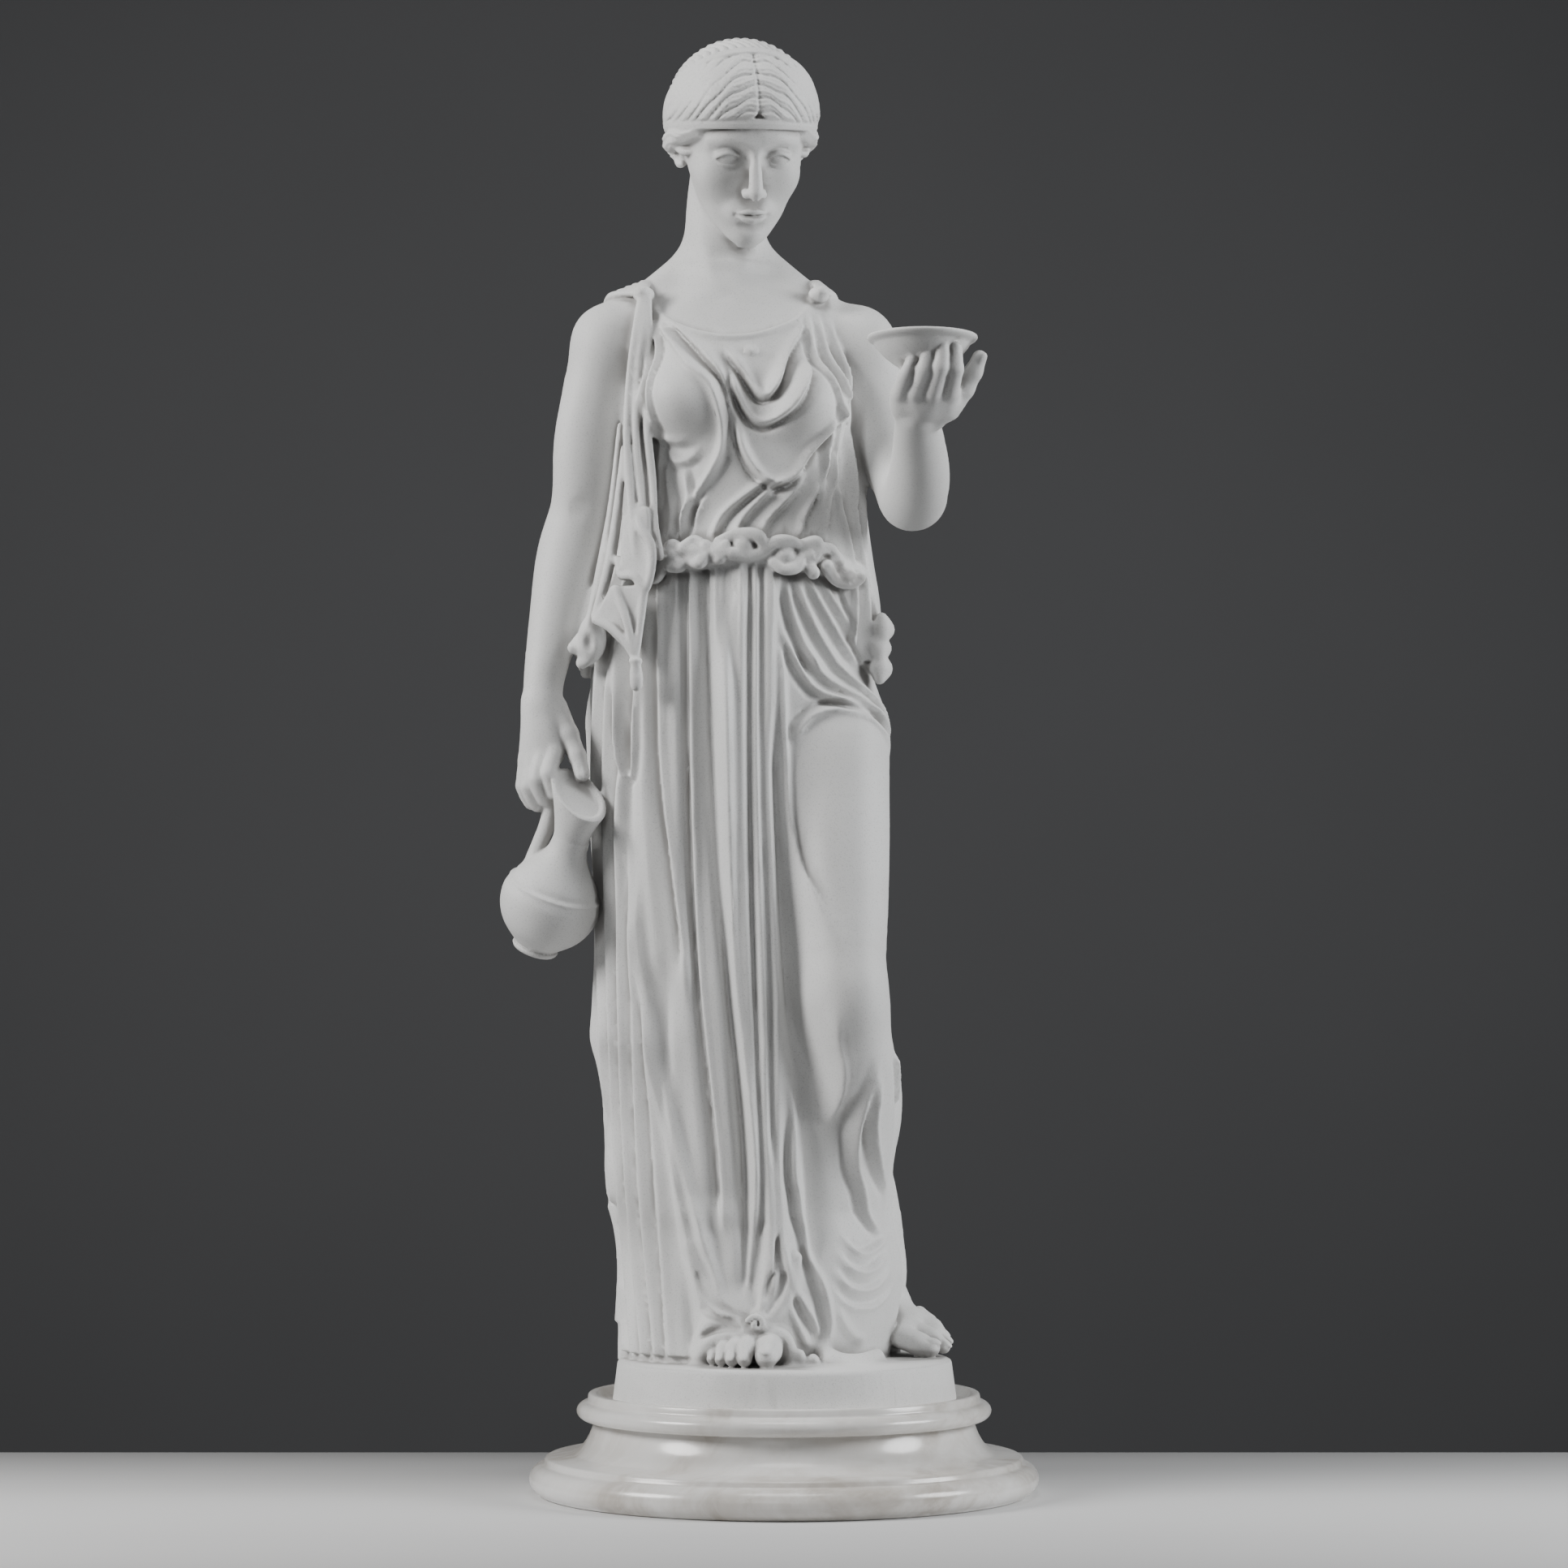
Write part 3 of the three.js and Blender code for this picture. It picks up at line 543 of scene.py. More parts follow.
def shin_folds(cloth):
    """Folds dropping from the calf, swags over the ankle, and the sweep of cloth at the hem."""
    for points in (((26, 212), (28, 186), (29.5, 164), (33.5, 145), (39, 128), (44, 124)),
                   ((28, 203), (33, 178), (38, 156), (43, 139)),
                   ((35, 212), (43, 196), (49, 184)),
                   ((9, 236), (14, 212), (19, 194), (21, 172))):
        cloth.crease(points, 2.1, 3.0, keen=1.6, taper=0.22, trough=(-2.6, 1.8, 1.9))
    for k in range(4):
        z = 119 - 8.6 * k
        half = 10.5 + 2.2 * k
        swag = [(37 - half, z + 6 + k), (37 - half * 0.5, z - 1), (37.5, z - 4),
                (37 + half * 0.55, z - 1.5), (37 + half * 0.95, z + 7 + k)]
        cloth.crease(swag, 1.7, 2.6 - 0.35 * k, keen=1.7, taper=0.28, trough=(2.5, 1.4, 1.7))
    sweep = [(2.5, 200), (4.5, 165), (7.5, 134), (13, 112), (19.5, 93), (20.5, 80), (18, 70)]
    cloth.crease(sweep, 2.4, 3.6, keen=1.6, taper=0.18, trough=(-3.4, 2.6, 2.4))
    cloth.crease([(-1, 125), (2, 106), (9, 92), (15, 82), (17, 75)], 2.0, 2.6, keen=1.7, taper=0.2,
                 trough=(-2.8, 1.8, 2.0))
    cloth.crease([(0, 104), (3, 90), (8, 79), (12, 70)], 1.6, 2.0, keen=1.7, taper=0.2)
    cloth.crease([(23, 96), (27, 84), (33, 76), (40, 72)], 2.4, 1.8, keen=1.8, taper=0.3)


def hem_details(clay):
    """The cloth drawn over the right foot, its curl, and the zigzag ends beside it."""
    edge = [(-40, -37, 60, 3.0), (-39.5, -41, 67, 3.2), (-35, -44.5, 74.5, 3.2), (-26, -46.5, 78, 3.0),
            (-16, -47, 79, 2.8), (-7, -47.5, 80, 2.8), (0.5, -46, 77, 3.0), (3.5, -44.5, 69, 3.0),
            (4.5, -43, 60, 3.0)]
    clay.ball((-18, -37.5, 84), (20, 9, 15), blend=7)
    clay.tube(edge, blend=4.5)
    for points in ([(-44, -37, 118, 2.6), (-37, -39, 101, 3.2), (-28, -42, 90, 3.4), (-18, -44.5, 84, 2.6)],
                   [(-40, -38, 70, 3.0), (-35, -41, 82, 3.4), (-26, -43.5, 86.5, 3.0), (-18, -45, 82, 2.4)],
                   [(-7, -40, 126, 2.4), (-8, -42, 106, 3.0), (-10, -44, 93, 3.2), (-13, -46, 85, 2.4)],
                   [(6, -40, 114, 2.6), (2, -42, 99, 3.2), (-4, -44.5, 89, 3.0), (-11, -46, 84.5, 2.2)]):
        clay.tube(points, blend=4)
    for points in ([(-42, -39, 110), (-35, -43, 96), (-25, -46.5, 89), (-18, -48, 86)],
                   [(-39, -40, 91), (-32, -44.5, 86.5), (-22, -47.5, 84.5)],
                   [(-39, -42, 77), (-30, -46.5, 81), (-21, -48.5, 81.5)],
                   [(-11, -42, 120), (-12, -45, 104), (-13.5, -47, 92)],
                   [(2, -42, 110), (-2.5, -45.5, 97), (-8, -48, 89)],
                   [(-3, -41, 126), (-5, -44, 109), (-8.5, -46.5, 96)]):
        clay.stroke(points, 1.5, -2.2)
    curl = []
    for t in np.linspace(0, 1, 10):
        reach, angle = 4.4 * (1 - 0.8 * t), 6.6 * t + 0.4
        curl.append((-13 - reach * math.cos(angle), -50 - 0.8 * t, 83.5 + reach * math.sin(angle), 1.4))
    clay.tube(curl, blend=0.6, steps=3)
    ends = [(4, -43, 63, 2.2), (7.5, -46, 69.5, 2.2), (10, -45, 61.5, 2.0), (13.5, -46, 67.5, 2.2),
            (17, -44, 61, 2.0), (20.5, -43.5, 66, 2.4), (24, -42, 62, 2.2)]
    clay.tube(ends, blend=2.4)
    clay.tube([(20, -38, 69, 3), (27, -39, 66, 3.2), (36, -36, 65.5, 3.2), (44, -28, 68, 2.6)], blend=8)


def back_folds(cloth):
    """Plainer folds all round the sides and back."""
    rng = np.random.default_rng(11)
    for k, turn in enumerate(turns_behind(1.55, 1.75, 15)):
        sway = 0.10 * math.sin(2.3 * k)
        jitter = rng.uniform(-0.05, 0.05, 3)
        cloth.fold([(turn + jitter[0], 400), (turn + sway * 0.6 + jitter[1], 260),
                    (turn + sway + jitter[2], 64)], (4.6, 3.6), 3.0 + 1.6 * math.sin(1.7 * k) ** 2,
                   keen=1.7, ends=(30, 0), back=True)
        cloth.fold([(turn + 0.13, 395), (turn + 0.13 + sway, 90)], 3.2, -2.4, ends=(40, 30), back=True)


def free_leg(clay):
    """Thigh, bent knee and shin pressing through the cloth, which falls behind the ankle."""
    clay.tube([(20, 4, 388, 20), (23, -7, 362, 26.5), (24.5, -14, 328, 26.2), (26, -22, 285, 24),
               (27.5, -31, 248, 20.5), (28, -32, 236, 19.5)], blend=9)
    clay.tube([(28, -31, 236, 18.5), (33, -24, 205, 20), (35, -13, 175, 17), (33, -2, 138, 14),
               (31, 8, 104, 19), (25, 16, 62, 24)], blend=12)
    clay.tube([(33, 8, 152, 13), (34, 26, 128, 17), (35, 36, 102, 17), (33, 38, 72, 17)], blend=12)


# ---- The blouse over the girdle ----------------------------------------------------------------

# Height, then left, right, front and back of the blouse's section.
BLOUSE = [
    (386, -98, 47, -39, 55), (410, -100, 47.5, -40, 54), (430, -94, 46, -39, 50), (450, -85, 42.5, -38, 45),
    (470, -80, 39.5, -36, 41), (490, -77, 37, -35.5, 39), (510, -76.5, 35.5, -36.5, 38.5),
    (530, -77, 33, -37, 38.5), (548, -76, 31, -34, 38), (563, -72, 27, -28.5, 35.5),
    (578, -63, 17, -20, 31), (590, -50, 4, -12, 26),
]
NECK_X, NECK_LOW = -25, 553.5


def blouse_front(x, z):
    """How far forward the blouse lies at (x, z), without its folds."""
    left, right, front, back = lookup(BLOUSE, z)[:, 0]
    u = np.clip((x - (left + right) / 2) / ((right - left) / 2), -0.98, 0.98)
    return (front + back) / 2 - (back - front) / 2 * math.sqrt(1 - u * u)


def neckline(x, y):
    """Top edge of the cloth: low in front between the clasps, higher over the back."""
    front = NECK_LOW + 0.0102 * (x - NECK_X) ** 2 + 0.5 * ease((x - 5) / 8) * (x - 5)
    return np.where(y < 6, front, np.maximum(front, 574))


def blouse_hem(turn):
    """Lower edge of the overfold: over the belly in front, down at the hips and the back."""
    side = np.where(turn < 0, 0.80, 0.70)
    drop = ease((np.abs(turn) - side) / 0.4)
    wave = 2.4 * np.sin(turn * 9) + 1.5 * np.sin(turn * 17 + 1)
    return mix(446.0, 396.0 + wave, drop)


def blouse():
    cloth = Column(BLOUSE, 384, 592)
    # the deep fold from the right clasp, round the breast and down to the girdle
    cloth.crease([(-62, 566), (-53, 553), (-42, 540), (-33, 529), (-29, 514), (-29.5, 498), (-36, 484),
                  (-45, 470), (-49, 456)], 2.2, 3.8, keen=1.6, taper=0.1, trough=(2.9, 2.8, 1.8))
    cloth.crease([(-60, 569), (-49, 558), (-37, 546), (-28, 532), (-25.5, 516), (-26, 500), (-33, 484),
                  (-41, 468), (-44, 456)], 1.8, 2.8, keen=1.6, taper=0.14)
    # pouches that sag between the breasts
    for points, height in ((((-29, 549), (-20, 537), (-11.5, 524), (-7, 527), (-2, 540), (4, 552),
                             (11, 564)), 3.4),
                           (((-26, 541), (-22, 525), (-16, 514), (-9, 511), (-2, 517), (4, 532),
                             (9, 545)), 3.4),
                           (((-23.5, 520), (-20, 500), (-13, 487.5), (-4, 482), (5, 487), (12, 500),
                             (19, 516), (23, 530)), 4.2)):
        cloth.crease(points, 2.1, height, keen=1.6, taper=0.13, trough=(-2.9, 3.0, 1.8))
    cloth.crease([(-18, 549), (-16, 545), (-12, 548)], 1.3, 1.8, keen=1.8)
    # arcs under and round the breasts
    for points in (((-62, 541), (-64, 522), (-60, 508), (-50, 502), (-40, 505)),
                   ((-58, 503), (-52, 493), (-44, 494), (-38, 500))):
        cloth.crease(points, 2.2, 2.2, keen=1.6, taper=0.34, trough=(-2.8, 1.2, 2.0))
    # folds that fall from the clasps
    for x, z, path in ((-68, 572, (-2, -3, -2, 0)), (-65, 571, (1.5, 2.5, 2.5, 3)),
                       (-61.5, 568, (2, 4, 2.5, 0)),
                       (14, 571, (5, 10, 12, 9)), (17, 572, (7, 12, 13, 14)), (10, 570, (3, 8, 9, 6))):
        s = [(x, z)] + [(x + dx, z - 26 * (i + 1)) for i, dx in enumerate(path)]
        cloth.crease(s, 1.6, 2.8, keen=1.6, taper=0.14, trough=(2.2 if x < 0 else -2.2, 1.6, 1.3))
    # folds gathering down to the girdle
    for points, height in ((((-57, 500), (-55, 482), (-53, 466), (-55, 452)), 2.0),
                           (((-48, 492), (-45, 476), (-47, 462), (-50, 452)), 2.2),
                           (((-5, 486), (-17, 477), (-29, 466), (-35, 452)), 3.0),
                           (((3, 488), (-9, 477), (-20, 464), (-25, 452)), 2.8),
                           (((12, 492), (4, 478), (-8, 464), (-13, 452)), 2.4),
                           (((20, 502), (16, 482), (9, 466), (6, 452)), 2.8),
                           (((25, 512), (24, 494), (21, 472), (18, 452)), 2.4)):
        cloth.crease(points, 2.0, height, keen=1.6, taper=0.2, trough=(2.6, 1.9, 1.6))
    side_strips(cloth)
    rng = np.random.default_rng(5)
    for k, turn in enumerate(turns_behind(1.75, 1.8, 11)):
        pull = 0.12 * math.sin(k * 1.9)
        guide = [(turn * 0.97 + pull, 556), (turn + pull * 0.3, 470),
                 (turn + rng.uniform(-0.06, 0.06), 396)]
        cloth.fold(guide, (4.2, 3.4), 2.2 + 1.4 * math.sin(k * 2.1) ** 2, keen=1.7, ends=(60, 0),
                   back=True)
    return cloth


def side_strips(cloth):
    """The open side edges of the garment, in long pleats from the clasps to the hips."""
    for side, rows in ((-1, ((-1.30, -1.32, -1.28, 2.4, 3.4), (-1.06, -1.02, -1.06, 2.0, 3.0))),
                       (1, ((0.92, 0.88, 0.92, 1.7, 3.0), (1.08, 1.06, 1.08, 2.0, 4.2),
                            (1.24, 1.26, 1.22, 2.0, 4.4)))):
        for k, (top, middle, foot, width, height) in enumerate(rows):
            bend = 0.04 * math.sin(2.1 * k + side)
            guide = [(top, 560), (middle + bend, 520), (middle - bend, 486), (foot + bend, 456),
                     (foot, 400)]
            cloth.fold(guide, width, height, keen=1.6, ends=(20, 0), back=True)
            cloth.fold([(t + 0.075, z) for t, z in guide], 1.2, -height * 0.55, keen=1.8,
                       ends=(20, 10), back=True)


def side_pleats(clay):
    """The strip of cloth that hangs free from the right clasp, in three sharp pleats."""
    heights = (575, 556, 534, 508, 484, 462, 446)
    for places, width in (((-69, -72, -74.5, -75.5, -74, -72, -70), 2.1),
                          ((-67.5, -68.5, -70.5, -71, -69, -66.5, -64), 2.0),
                          ((-66, -65, -66, -65.5, -63, -61.5, -59), 1.9)):
        path = [(x, -15 - 0.22 * (575 - z) ** 0.98 - (2 if k % 2 else 0), z,
                 width + 0.35 * math.sin(k * 1.7 + x))
                for k, (x, z) in enumerate(zip(places, heights))]
        clay.tube(path, blend=1.5)
    clay.tube([(-68, -9, 572, 3.0), (-69, -16, 550, 4.0), (-70, -21, 520, 4.6), (-69, -27, 490, 4.8),
               (-66, -33, 462, 5.0)], blend=2.0)
    for x, z in ((-70.5, 540), (-71.5, 512), (-69.5, 486)):
        clay.stroke([(x - 3.4, -40, z + 12), (x - 1.8, -40, z - 12)], 0.8, -0.5)


def cloth_edge(clay):
    """The rolled edge of the neckline, the gathered clasps and the straps over the shoulders."""
    edge = []
    for x in np.linspace(-64, 13, 13):
        z = float(neckline(np.float64(x), 0.0))
        edge.append((x, blouse_front(x, z) + 0.2, z - 0.8, 1.6))
    clay.tube(edge, blend=1.0, steps=3)
    for s, x in ((-1, -68), (1, 17)):
        for k in range(6):             # the strap's pleats, over the shoulder to the back
            out = s * (-3 + (4.4 if s < 0 else 2.2) * k)
            drop = 0.9 * max(k - 1, 0)
            pleat = [(x, -11, 577, 1.2), (x + out * 0.45, -5, 582.5 - drop, 1.7),
                     (x + out * 0.9, 5, 585 - 1.7 * drop, 2.1), (x + out * 0.9, 16, 579 - 1.9 * drop, 2.3),
                     (x + out * 0.7 - s * 3, 21, 564, 2.4), (x + out * 0.6 - s * 7, 20, 544, 1.4)]
            clay.tube(pleat, blend=0.9)
        clay.ball((x, -12, 577.0), (5.2, 5.0, 4.2), blend=1.2)
        clay.ball((x + 1.0 * s, -15.6, 578), (3.6, 2.6, 3.0), blend=0.9)
        for k in range(5):
            a = 0.5 + k * 1.25
            clay.stroke([(x + 2.4 * math.cos(a), -17.2, 577.5 + 2.0 * math.sin(a)),
                         (x + 5.6 * math.cos(a), -15.6, 577.5 + 4.4 * math.sin(a))], 0.8, -0.9, taper=False)


# Loops of the bunched roll over the girdle, left to right, each through (x, z) points.
ROLL_LOOPS = [
    ((-70, 446), (-67, 438), (-61, 436), (-58, 442), (-54, 447)),
    ((-57, 447), (-53, 452), (-48, 447), (-49.5, 442), (-54, 441)),
    ((-47.5, 450), (-42.5, 454), (-37.5, 449), (-40, 443), (-45.5, 444)),
    ((-37, 451), (-33.5, 445), (-30, 446), (-28, 451)),
    ((-31, 453), (-22, 456.5), (-12.5, 455.5), (-10, 449), (-17, 446.5), (-25, 447)),
    ((-10.5, 447), (-4, 452.5), (4, 453), (8.5, 449), (6.5, 442), (0, 439.5), (-5, 443)),
    ((9, 452), (15.5, 453), (15, 446.5), (11, 443.5), (14, 438.5)),
    ((16, 450), (22.5, 450), (26, 443), (31, 439)),
    ((20, 442), (25, 435.5), (32, 435), (36, 438)),
]


def waist_roll(clay):
    """The bunched roll where the blouse is drawn up over the girdle."""
    core = [(x, blouse_front(x, 446) + 1.4, 446.5 - 0.0022 * (x + 18) ** 2, 5.4)
            for x in np.linspace(-64, 34, 9)]
    clay.tube(core, blend=2.0)
    for k, points in enumerate(ROLL_LOOPS):
        path = [(x, blouse_front(x, z) - 4.0 - 1.3 * math.sin(1.9 * i + k), z,
                 3.0 + 0.5 * math.sin(2.3 * i + k)) for i, (x, z) in enumerate(points)]
        clay.tube(path, blend=0.6)
        middle = np.array(path)[:, :3].mean(0)
        clay.ball(middle + (0, 0.9, 0), (5.2, 4.4, 4.4), blend=1.4)
        for (ax, ay, az, _), (bx, by, bz, _) in zip(path, path[1:]):
            clay.stroke([(ax, ay - 3.4, az), (bx, by - 3.4, bz)], 0.8, -0.6, taper=False)


def plate(clay, corners, thick):
    """A flat flap of cloth with straight edges, its corners given in order."""
    c = np.array(corners, float)
    centre = c.mean(0)
    normal = unit(np.cross(c[1] - c[0], c[2] - c[0]))
    rims = []
    for a, b in zip(c, np.roll(c, -1, axis=0)):
        out = unit(np.cross(b - a, normal))
        rims.append((a, out if out @ (a - centre) > 0 else -out))

    def distance(x, y, z):
        d = np.abs((x - centre[0]) * normal[0] + (y - centre[1]) * normal[1]
                   + (z - centre[2]) * normal[2]) - thick
        for a, out in rims:
            d = smooth_max(d, (x - a[0]) * out[0] + (y - a[1]) * out[1] + (z - a[2]) * out[2], 1.2)
        return d

    margin = thick + 4
    clay.place(c.min(0) - margin, c.max(0) + margin, distance, blend=1.0)


def side_falls(clay):
    """The zigzag ends of the open edges at the hips, with their tassels."""
    plate(clay, [(-76.5, -35, 466), (-64, -39, 470), (-61.5, -43, 440), (-65.5, -43, 428),
                 (-77, -37, 440)], 3.2)
    rim = [(-70, -37, 470, 1.8), (-68.5, -42, 460, 2.2), (-63.5, -44.5, 452, 2.2), (-62.5, -45, 442, 2.0),
           (-65.5, -44.5, 430, 1.8), (-71, -42.5, 436, 2.0), (-77.5, -39, 437, 2.0), (-79, -37, 445, 1.8)]
    clay.tube(rim, blend=0.8)
    clay.tube([(-79, -20, 512, 1.4), (-82, -25, 474, 2.4), (-87, -28, 442, 3.0), (-93, -27, 412, 2.8)],
              blend=3)
    clay.tube([(-77, -27, 500, 1.4), (-80, -32, 466, 2.4), (-84, -34, 440, 2.6), (-90, -34, 418, 2.2)],
              blend=3)
    clay.ball((-92, -24, 408), (7, 7, 11), blend=3)
    clay.ball((-93.5, -31.5, 405), (2.6, 3.4, 4.6), blend=2, cut=True)
    plate(clay, [(-90, -34, 417), (-82, -37, 432), (-65, -43, 432), (-70, -43, 396)], 2.2)
    clay.tube([(-90, -36, 416, 2.0), (-82, -40, 412, 2.2), (-76, -43, 406, 2.0),
               (-71, -44.5, 397, 1.8)], blend=0.9)
    clay.tube([(-80, -40, 430, 2.4), (-75, -43.5, 416, 2.2), (-71, -44.5, 400, 1.8)], blend=1.1)
    clay.tube([(-66, -43.5, 432, 2.0), (-68, -44, 415, 1.9), (-70, -44.5, 399, 1.7)], blend=1.0)
    plate(clay, [(29, -36, 440), (44, -27, 438), (44, -26, 416), (40, -33, 398), (34, -36, 410)], 2.4)
    clay.tube([(30, -38.5, 440, 2.2), (31, -39, 424, 2.0), (34.5, -38, 410, 2.0), (39, -36, 399, 1.8)],
              blend=0.9)
    clay.tube([(37, -36, 440, 2.4), (38.5, -36.5, 422, 2.2), (40, -35.5, 402, 1.8)], blend=1.1)
    clay.tube([(43.5, -29, 438, 2.4), (44.5, -28, 420, 2.2), (42, -33, 402, 1.8)], blend=1.0)
    for x, y in ((-70.3, -45), (40, -36)):
        clay.ball((x, y, 395.5), (3.4, 3.2, 2.0), blend=0.5)
        clay.tube([(x, y, 393.5, 2.5), (x + 0.3, y, 388, 3.2), (x + 0.4, y, 384, 3.0)], blend=0.4)
        for k in range(5):
            u = -2.4 + 1.2 * k
            y_top, y_low = y - 3.4 + abs(u) * 0.3, y - 3.8 + abs(u) * 0.3
            clay.stroke([(x + u * 0.8, y_top, 393), (x + u * 1.1, y_low, 382)], 0.5, -0.7, taper=False)
    curls = (((-101, 404), (-96, 410), (-90, 407), (-92, 400), (-97, 397)),
             ((47, 419), (50.5, 414), (47.5, 410)),
             ((45, 410), (49, 405), (46, 401)), ((46, 400), (49.5, 395), (46, 390)))
    for k, points in enumerate(curls):
        y = -14 if k else -22
        clay.tube([(x, y + 3 * math.sin(i * 1.7), z, 3.0) for i, (x, z) in enumerate(points)], blend=1.2)
        middle = np.mean(points, axis=0)
        clay.ball((middle[0] - (1.5 if k else 0), y, middle[1]), (5.0, 4.4, 5.0), blend=2.0)


# ---- Plinth ------------------------------------------------------------------------------------

def plinth(clay):
    """The round plinth under the feet, a little narrower at the top and not quite true."""
    def distance(x, y, z):
        angle = np.arctan2(y, x)
        rim = PLINTH_RADIUS - 2.6 * (z - SEAT) / (GROUND - SEAT) + 0.35 * np.sin(angle * 5 + 1)
        side = np.hypot(x, y) - rim
        return smooth_max(smooth_max(side, z - GROUND, 2.2), SEAT - z, 0.6)

    clay.place((-90, -90, SEAT - 6), (90, 90, GROUND + 6), distance, blend=0.8)


# ---- The head ----------------------------------------------------------------------------------
# In its own place: x to the side, the face towards -y, z up.

HEAD_CENTRE = (-21, -10, 652)
HEAD_TURN = tuple(math.radians(a) for a in (27, -2, 13))     # nod, tip and turn
CAP_CENTRE, CAP_RADII = np.array([0, 3, 13.5]), np.array([35, 39.5, 34.5])

# Height, then left, right, front and back of the face without its features.
FACE = [
    (-43, -5, 5, -30.5, -24), (-40, -9.6, 9.6, -32.4, -17), (-36, -13.6, 13.6, -32.8, -9),
    (-31, -18.2, 18.2, -32.0, 0), (-25, -21.6, 21.6, -32.2, 8), (-18, -24.4, 24.4, -32.2, 14),
    (-10, -26.8, 26.8, -31.9, 18), (-2, -28.2, 28.2, -31.4, 21), (6, -28.5, 28.5, -32.8, 23),
    (14, -28.2, 28.2, -33.6, 25), (22, -27.2, 27.2, -32.6, 27), (30, -24.5, 24.5, -28.6, 28),
]


def head_axes():
    nod, tip, turn = HEAD_TURN
    cx, sx, cy, sy, cz, sz = (f(a) for a in (nod, tip, turn) for f in (math.cos, math.sin))
    about_x = np.array([[1, 0, 0], [0, cx, -sx], [0, sx, cx]])
    about_y = np.array([[cy, 0, sy], [0, 1, 0], [-sy, 0, cy]])
    about_z = np.array([[cz, -sz, 0], [sz, cz, 0], [0, 0, 1]])
    return (about_z @ about_y @ about_x).T


def hairline(y, z):
    """Above 0 in the hair and below 0 on the face and neck."""
    return z + 0.75 * y + 5.8


LOWER_BAND, UPPER_BAND = (0.30, 8.0), (1.73, 29.7)     # slope and level of the two bands
BAND_LIFT, CORD_STEP = 1.9, 1.55       # how far out a band lies, and how far apart its cords are


def lower_band(y, z):
    """Above 0 over the lower band."""
    return z + LOWER_BAND[0] * y - LOWER_BAND[1]


def upper_band(y, z):
    """Above 0 behind the upper band."""
    return z + UPPER_BAND[0] * y - UPPER_BAND[1]


def head():
    """The head, with enough of the neck to join it to the body."""
    block = Detail((-45, -49, -60), (45, 60, 62), HEAD_CENTRE, head_axes(), blend=2.0)
    clay = block.clay
    neck = np.array([(-28, 9, 598, 19.4), (-29, 6, 618, 18.4), (-27.5, 4, 634, 18), (-25, 3, 648, 17)])
    local = (neck[:, :3] - block.centre) @ block.axes.T
    skull(clay)
    clay.tube(np.column_stack([local, neck[:, 3] - 0.3]), blend=5)
    nose(clay)
    mouth(clay)
    for side in (-1, 1):
        eye(clay, side)
        ear(clay, side)
    hair(clay)
    return block


def skull(clay):
    """The bare head: the skull, the face's broad form, the cheeks, brows and chin."""
    clay.ball((0, 5, 13), (29.5, 35.5, 32.5), blend=2)
    Column(FACE, -45, 31).onto(clay, 7.0, -44, 30)
    for side in (-1, 1):
        clay.ball((side * 15, -20.5, -9.5), (9.5, 9, 10.5), blend=7)
        clay.tube([(side * 20, -24.4, 7.0, 1.4), (side * 13, -29.4, 9.0, 1.6),
                   (side * 5, -31.8, 7.6, 1.6)], blend=6)
    clay.ball((0, -28.2, -36.8), (7.0, 6.2, 5.6), blend=4)


def nose(clay):
    """A straight bridge, the tip and the wings."""
    clay.tube([(0, -31, 6, 3.6), (0, -34, -1, 3.2), (0, -37.2, -8, 3.2), (0, -39.6, -14, 3.7)], blend=3.4)
    for side in (-1, 1):
        clay.ball((side * 3.9, -36.0, -15.4), (2.3, 3.8, 2.4), blend=1.8)
        clay.ball((side * 2.2, -38.0, -18.2), (1.0, 1.7, 1.3), blend=0.7, cut=True)
        clay.stroke([(side * 5.2, -38.0, -12.8), (side * 6.5, -36, -15.0), (side * 6.0, -34.6, -17.4)],
                    0.9, -0.35)
    clay.tube([(0, -40.6, -16.2, 1.5), (0, -36.4, -18.2, 1.4)], blend=1.2)


def mouth(clay):
    """Two closed lips with the line between them, and the groove over the chin."""
    clay.ball((0, -28.6, -26), (11.5, 7.0, 6.4), blend=4)
    for side in (-1, 1):
        clay.tube([(side * 7.6, -33.6, -26.2, 0.5), (side * 4.4, -35.6, -24.9, 1.25),
                   (side * 1.5, -36.7, -24.1, 1.45), (0, -36.5, -24.5, 1.4)], blend=0.9)
        clay.tube([(side * 6.8, -33.8, -26.8, 0.6), (side * 3.6, -35.6, -28.1, 1.6),
                   (0, -36.2, -28.5, 1.85)], blend=0.9)
        clay.stroke([(side * 1.2, -36.6, -19.6), (side * 1.5, -37.0, -22.6)], 0.7, 0.22)
        clay.ball((side * 8.4, -33.9, -26.6), (0.8, 1.1, 0.8), blend=1.2, cut=True)
    line = [(-8.0, -33.8, -26.5), (-4.4, -36.5, -26.1), (0, -37.7, -26.4), (4.4, -36.5, -26.1),
            (8.0, -33.8, -26.5)]
    clay.stroke(line, 0.55, -0.75, taper=False)
    clay.stroke([(0, -36.5, -19.5), (0, -36.9, -22.8)], 1.0, -0.4)
    clay.stroke([(-6.5, -33.4, -32.2), (0, -34.6, -32.4), (6.5, -33.4, -32.2)], 2.0, -0.9)


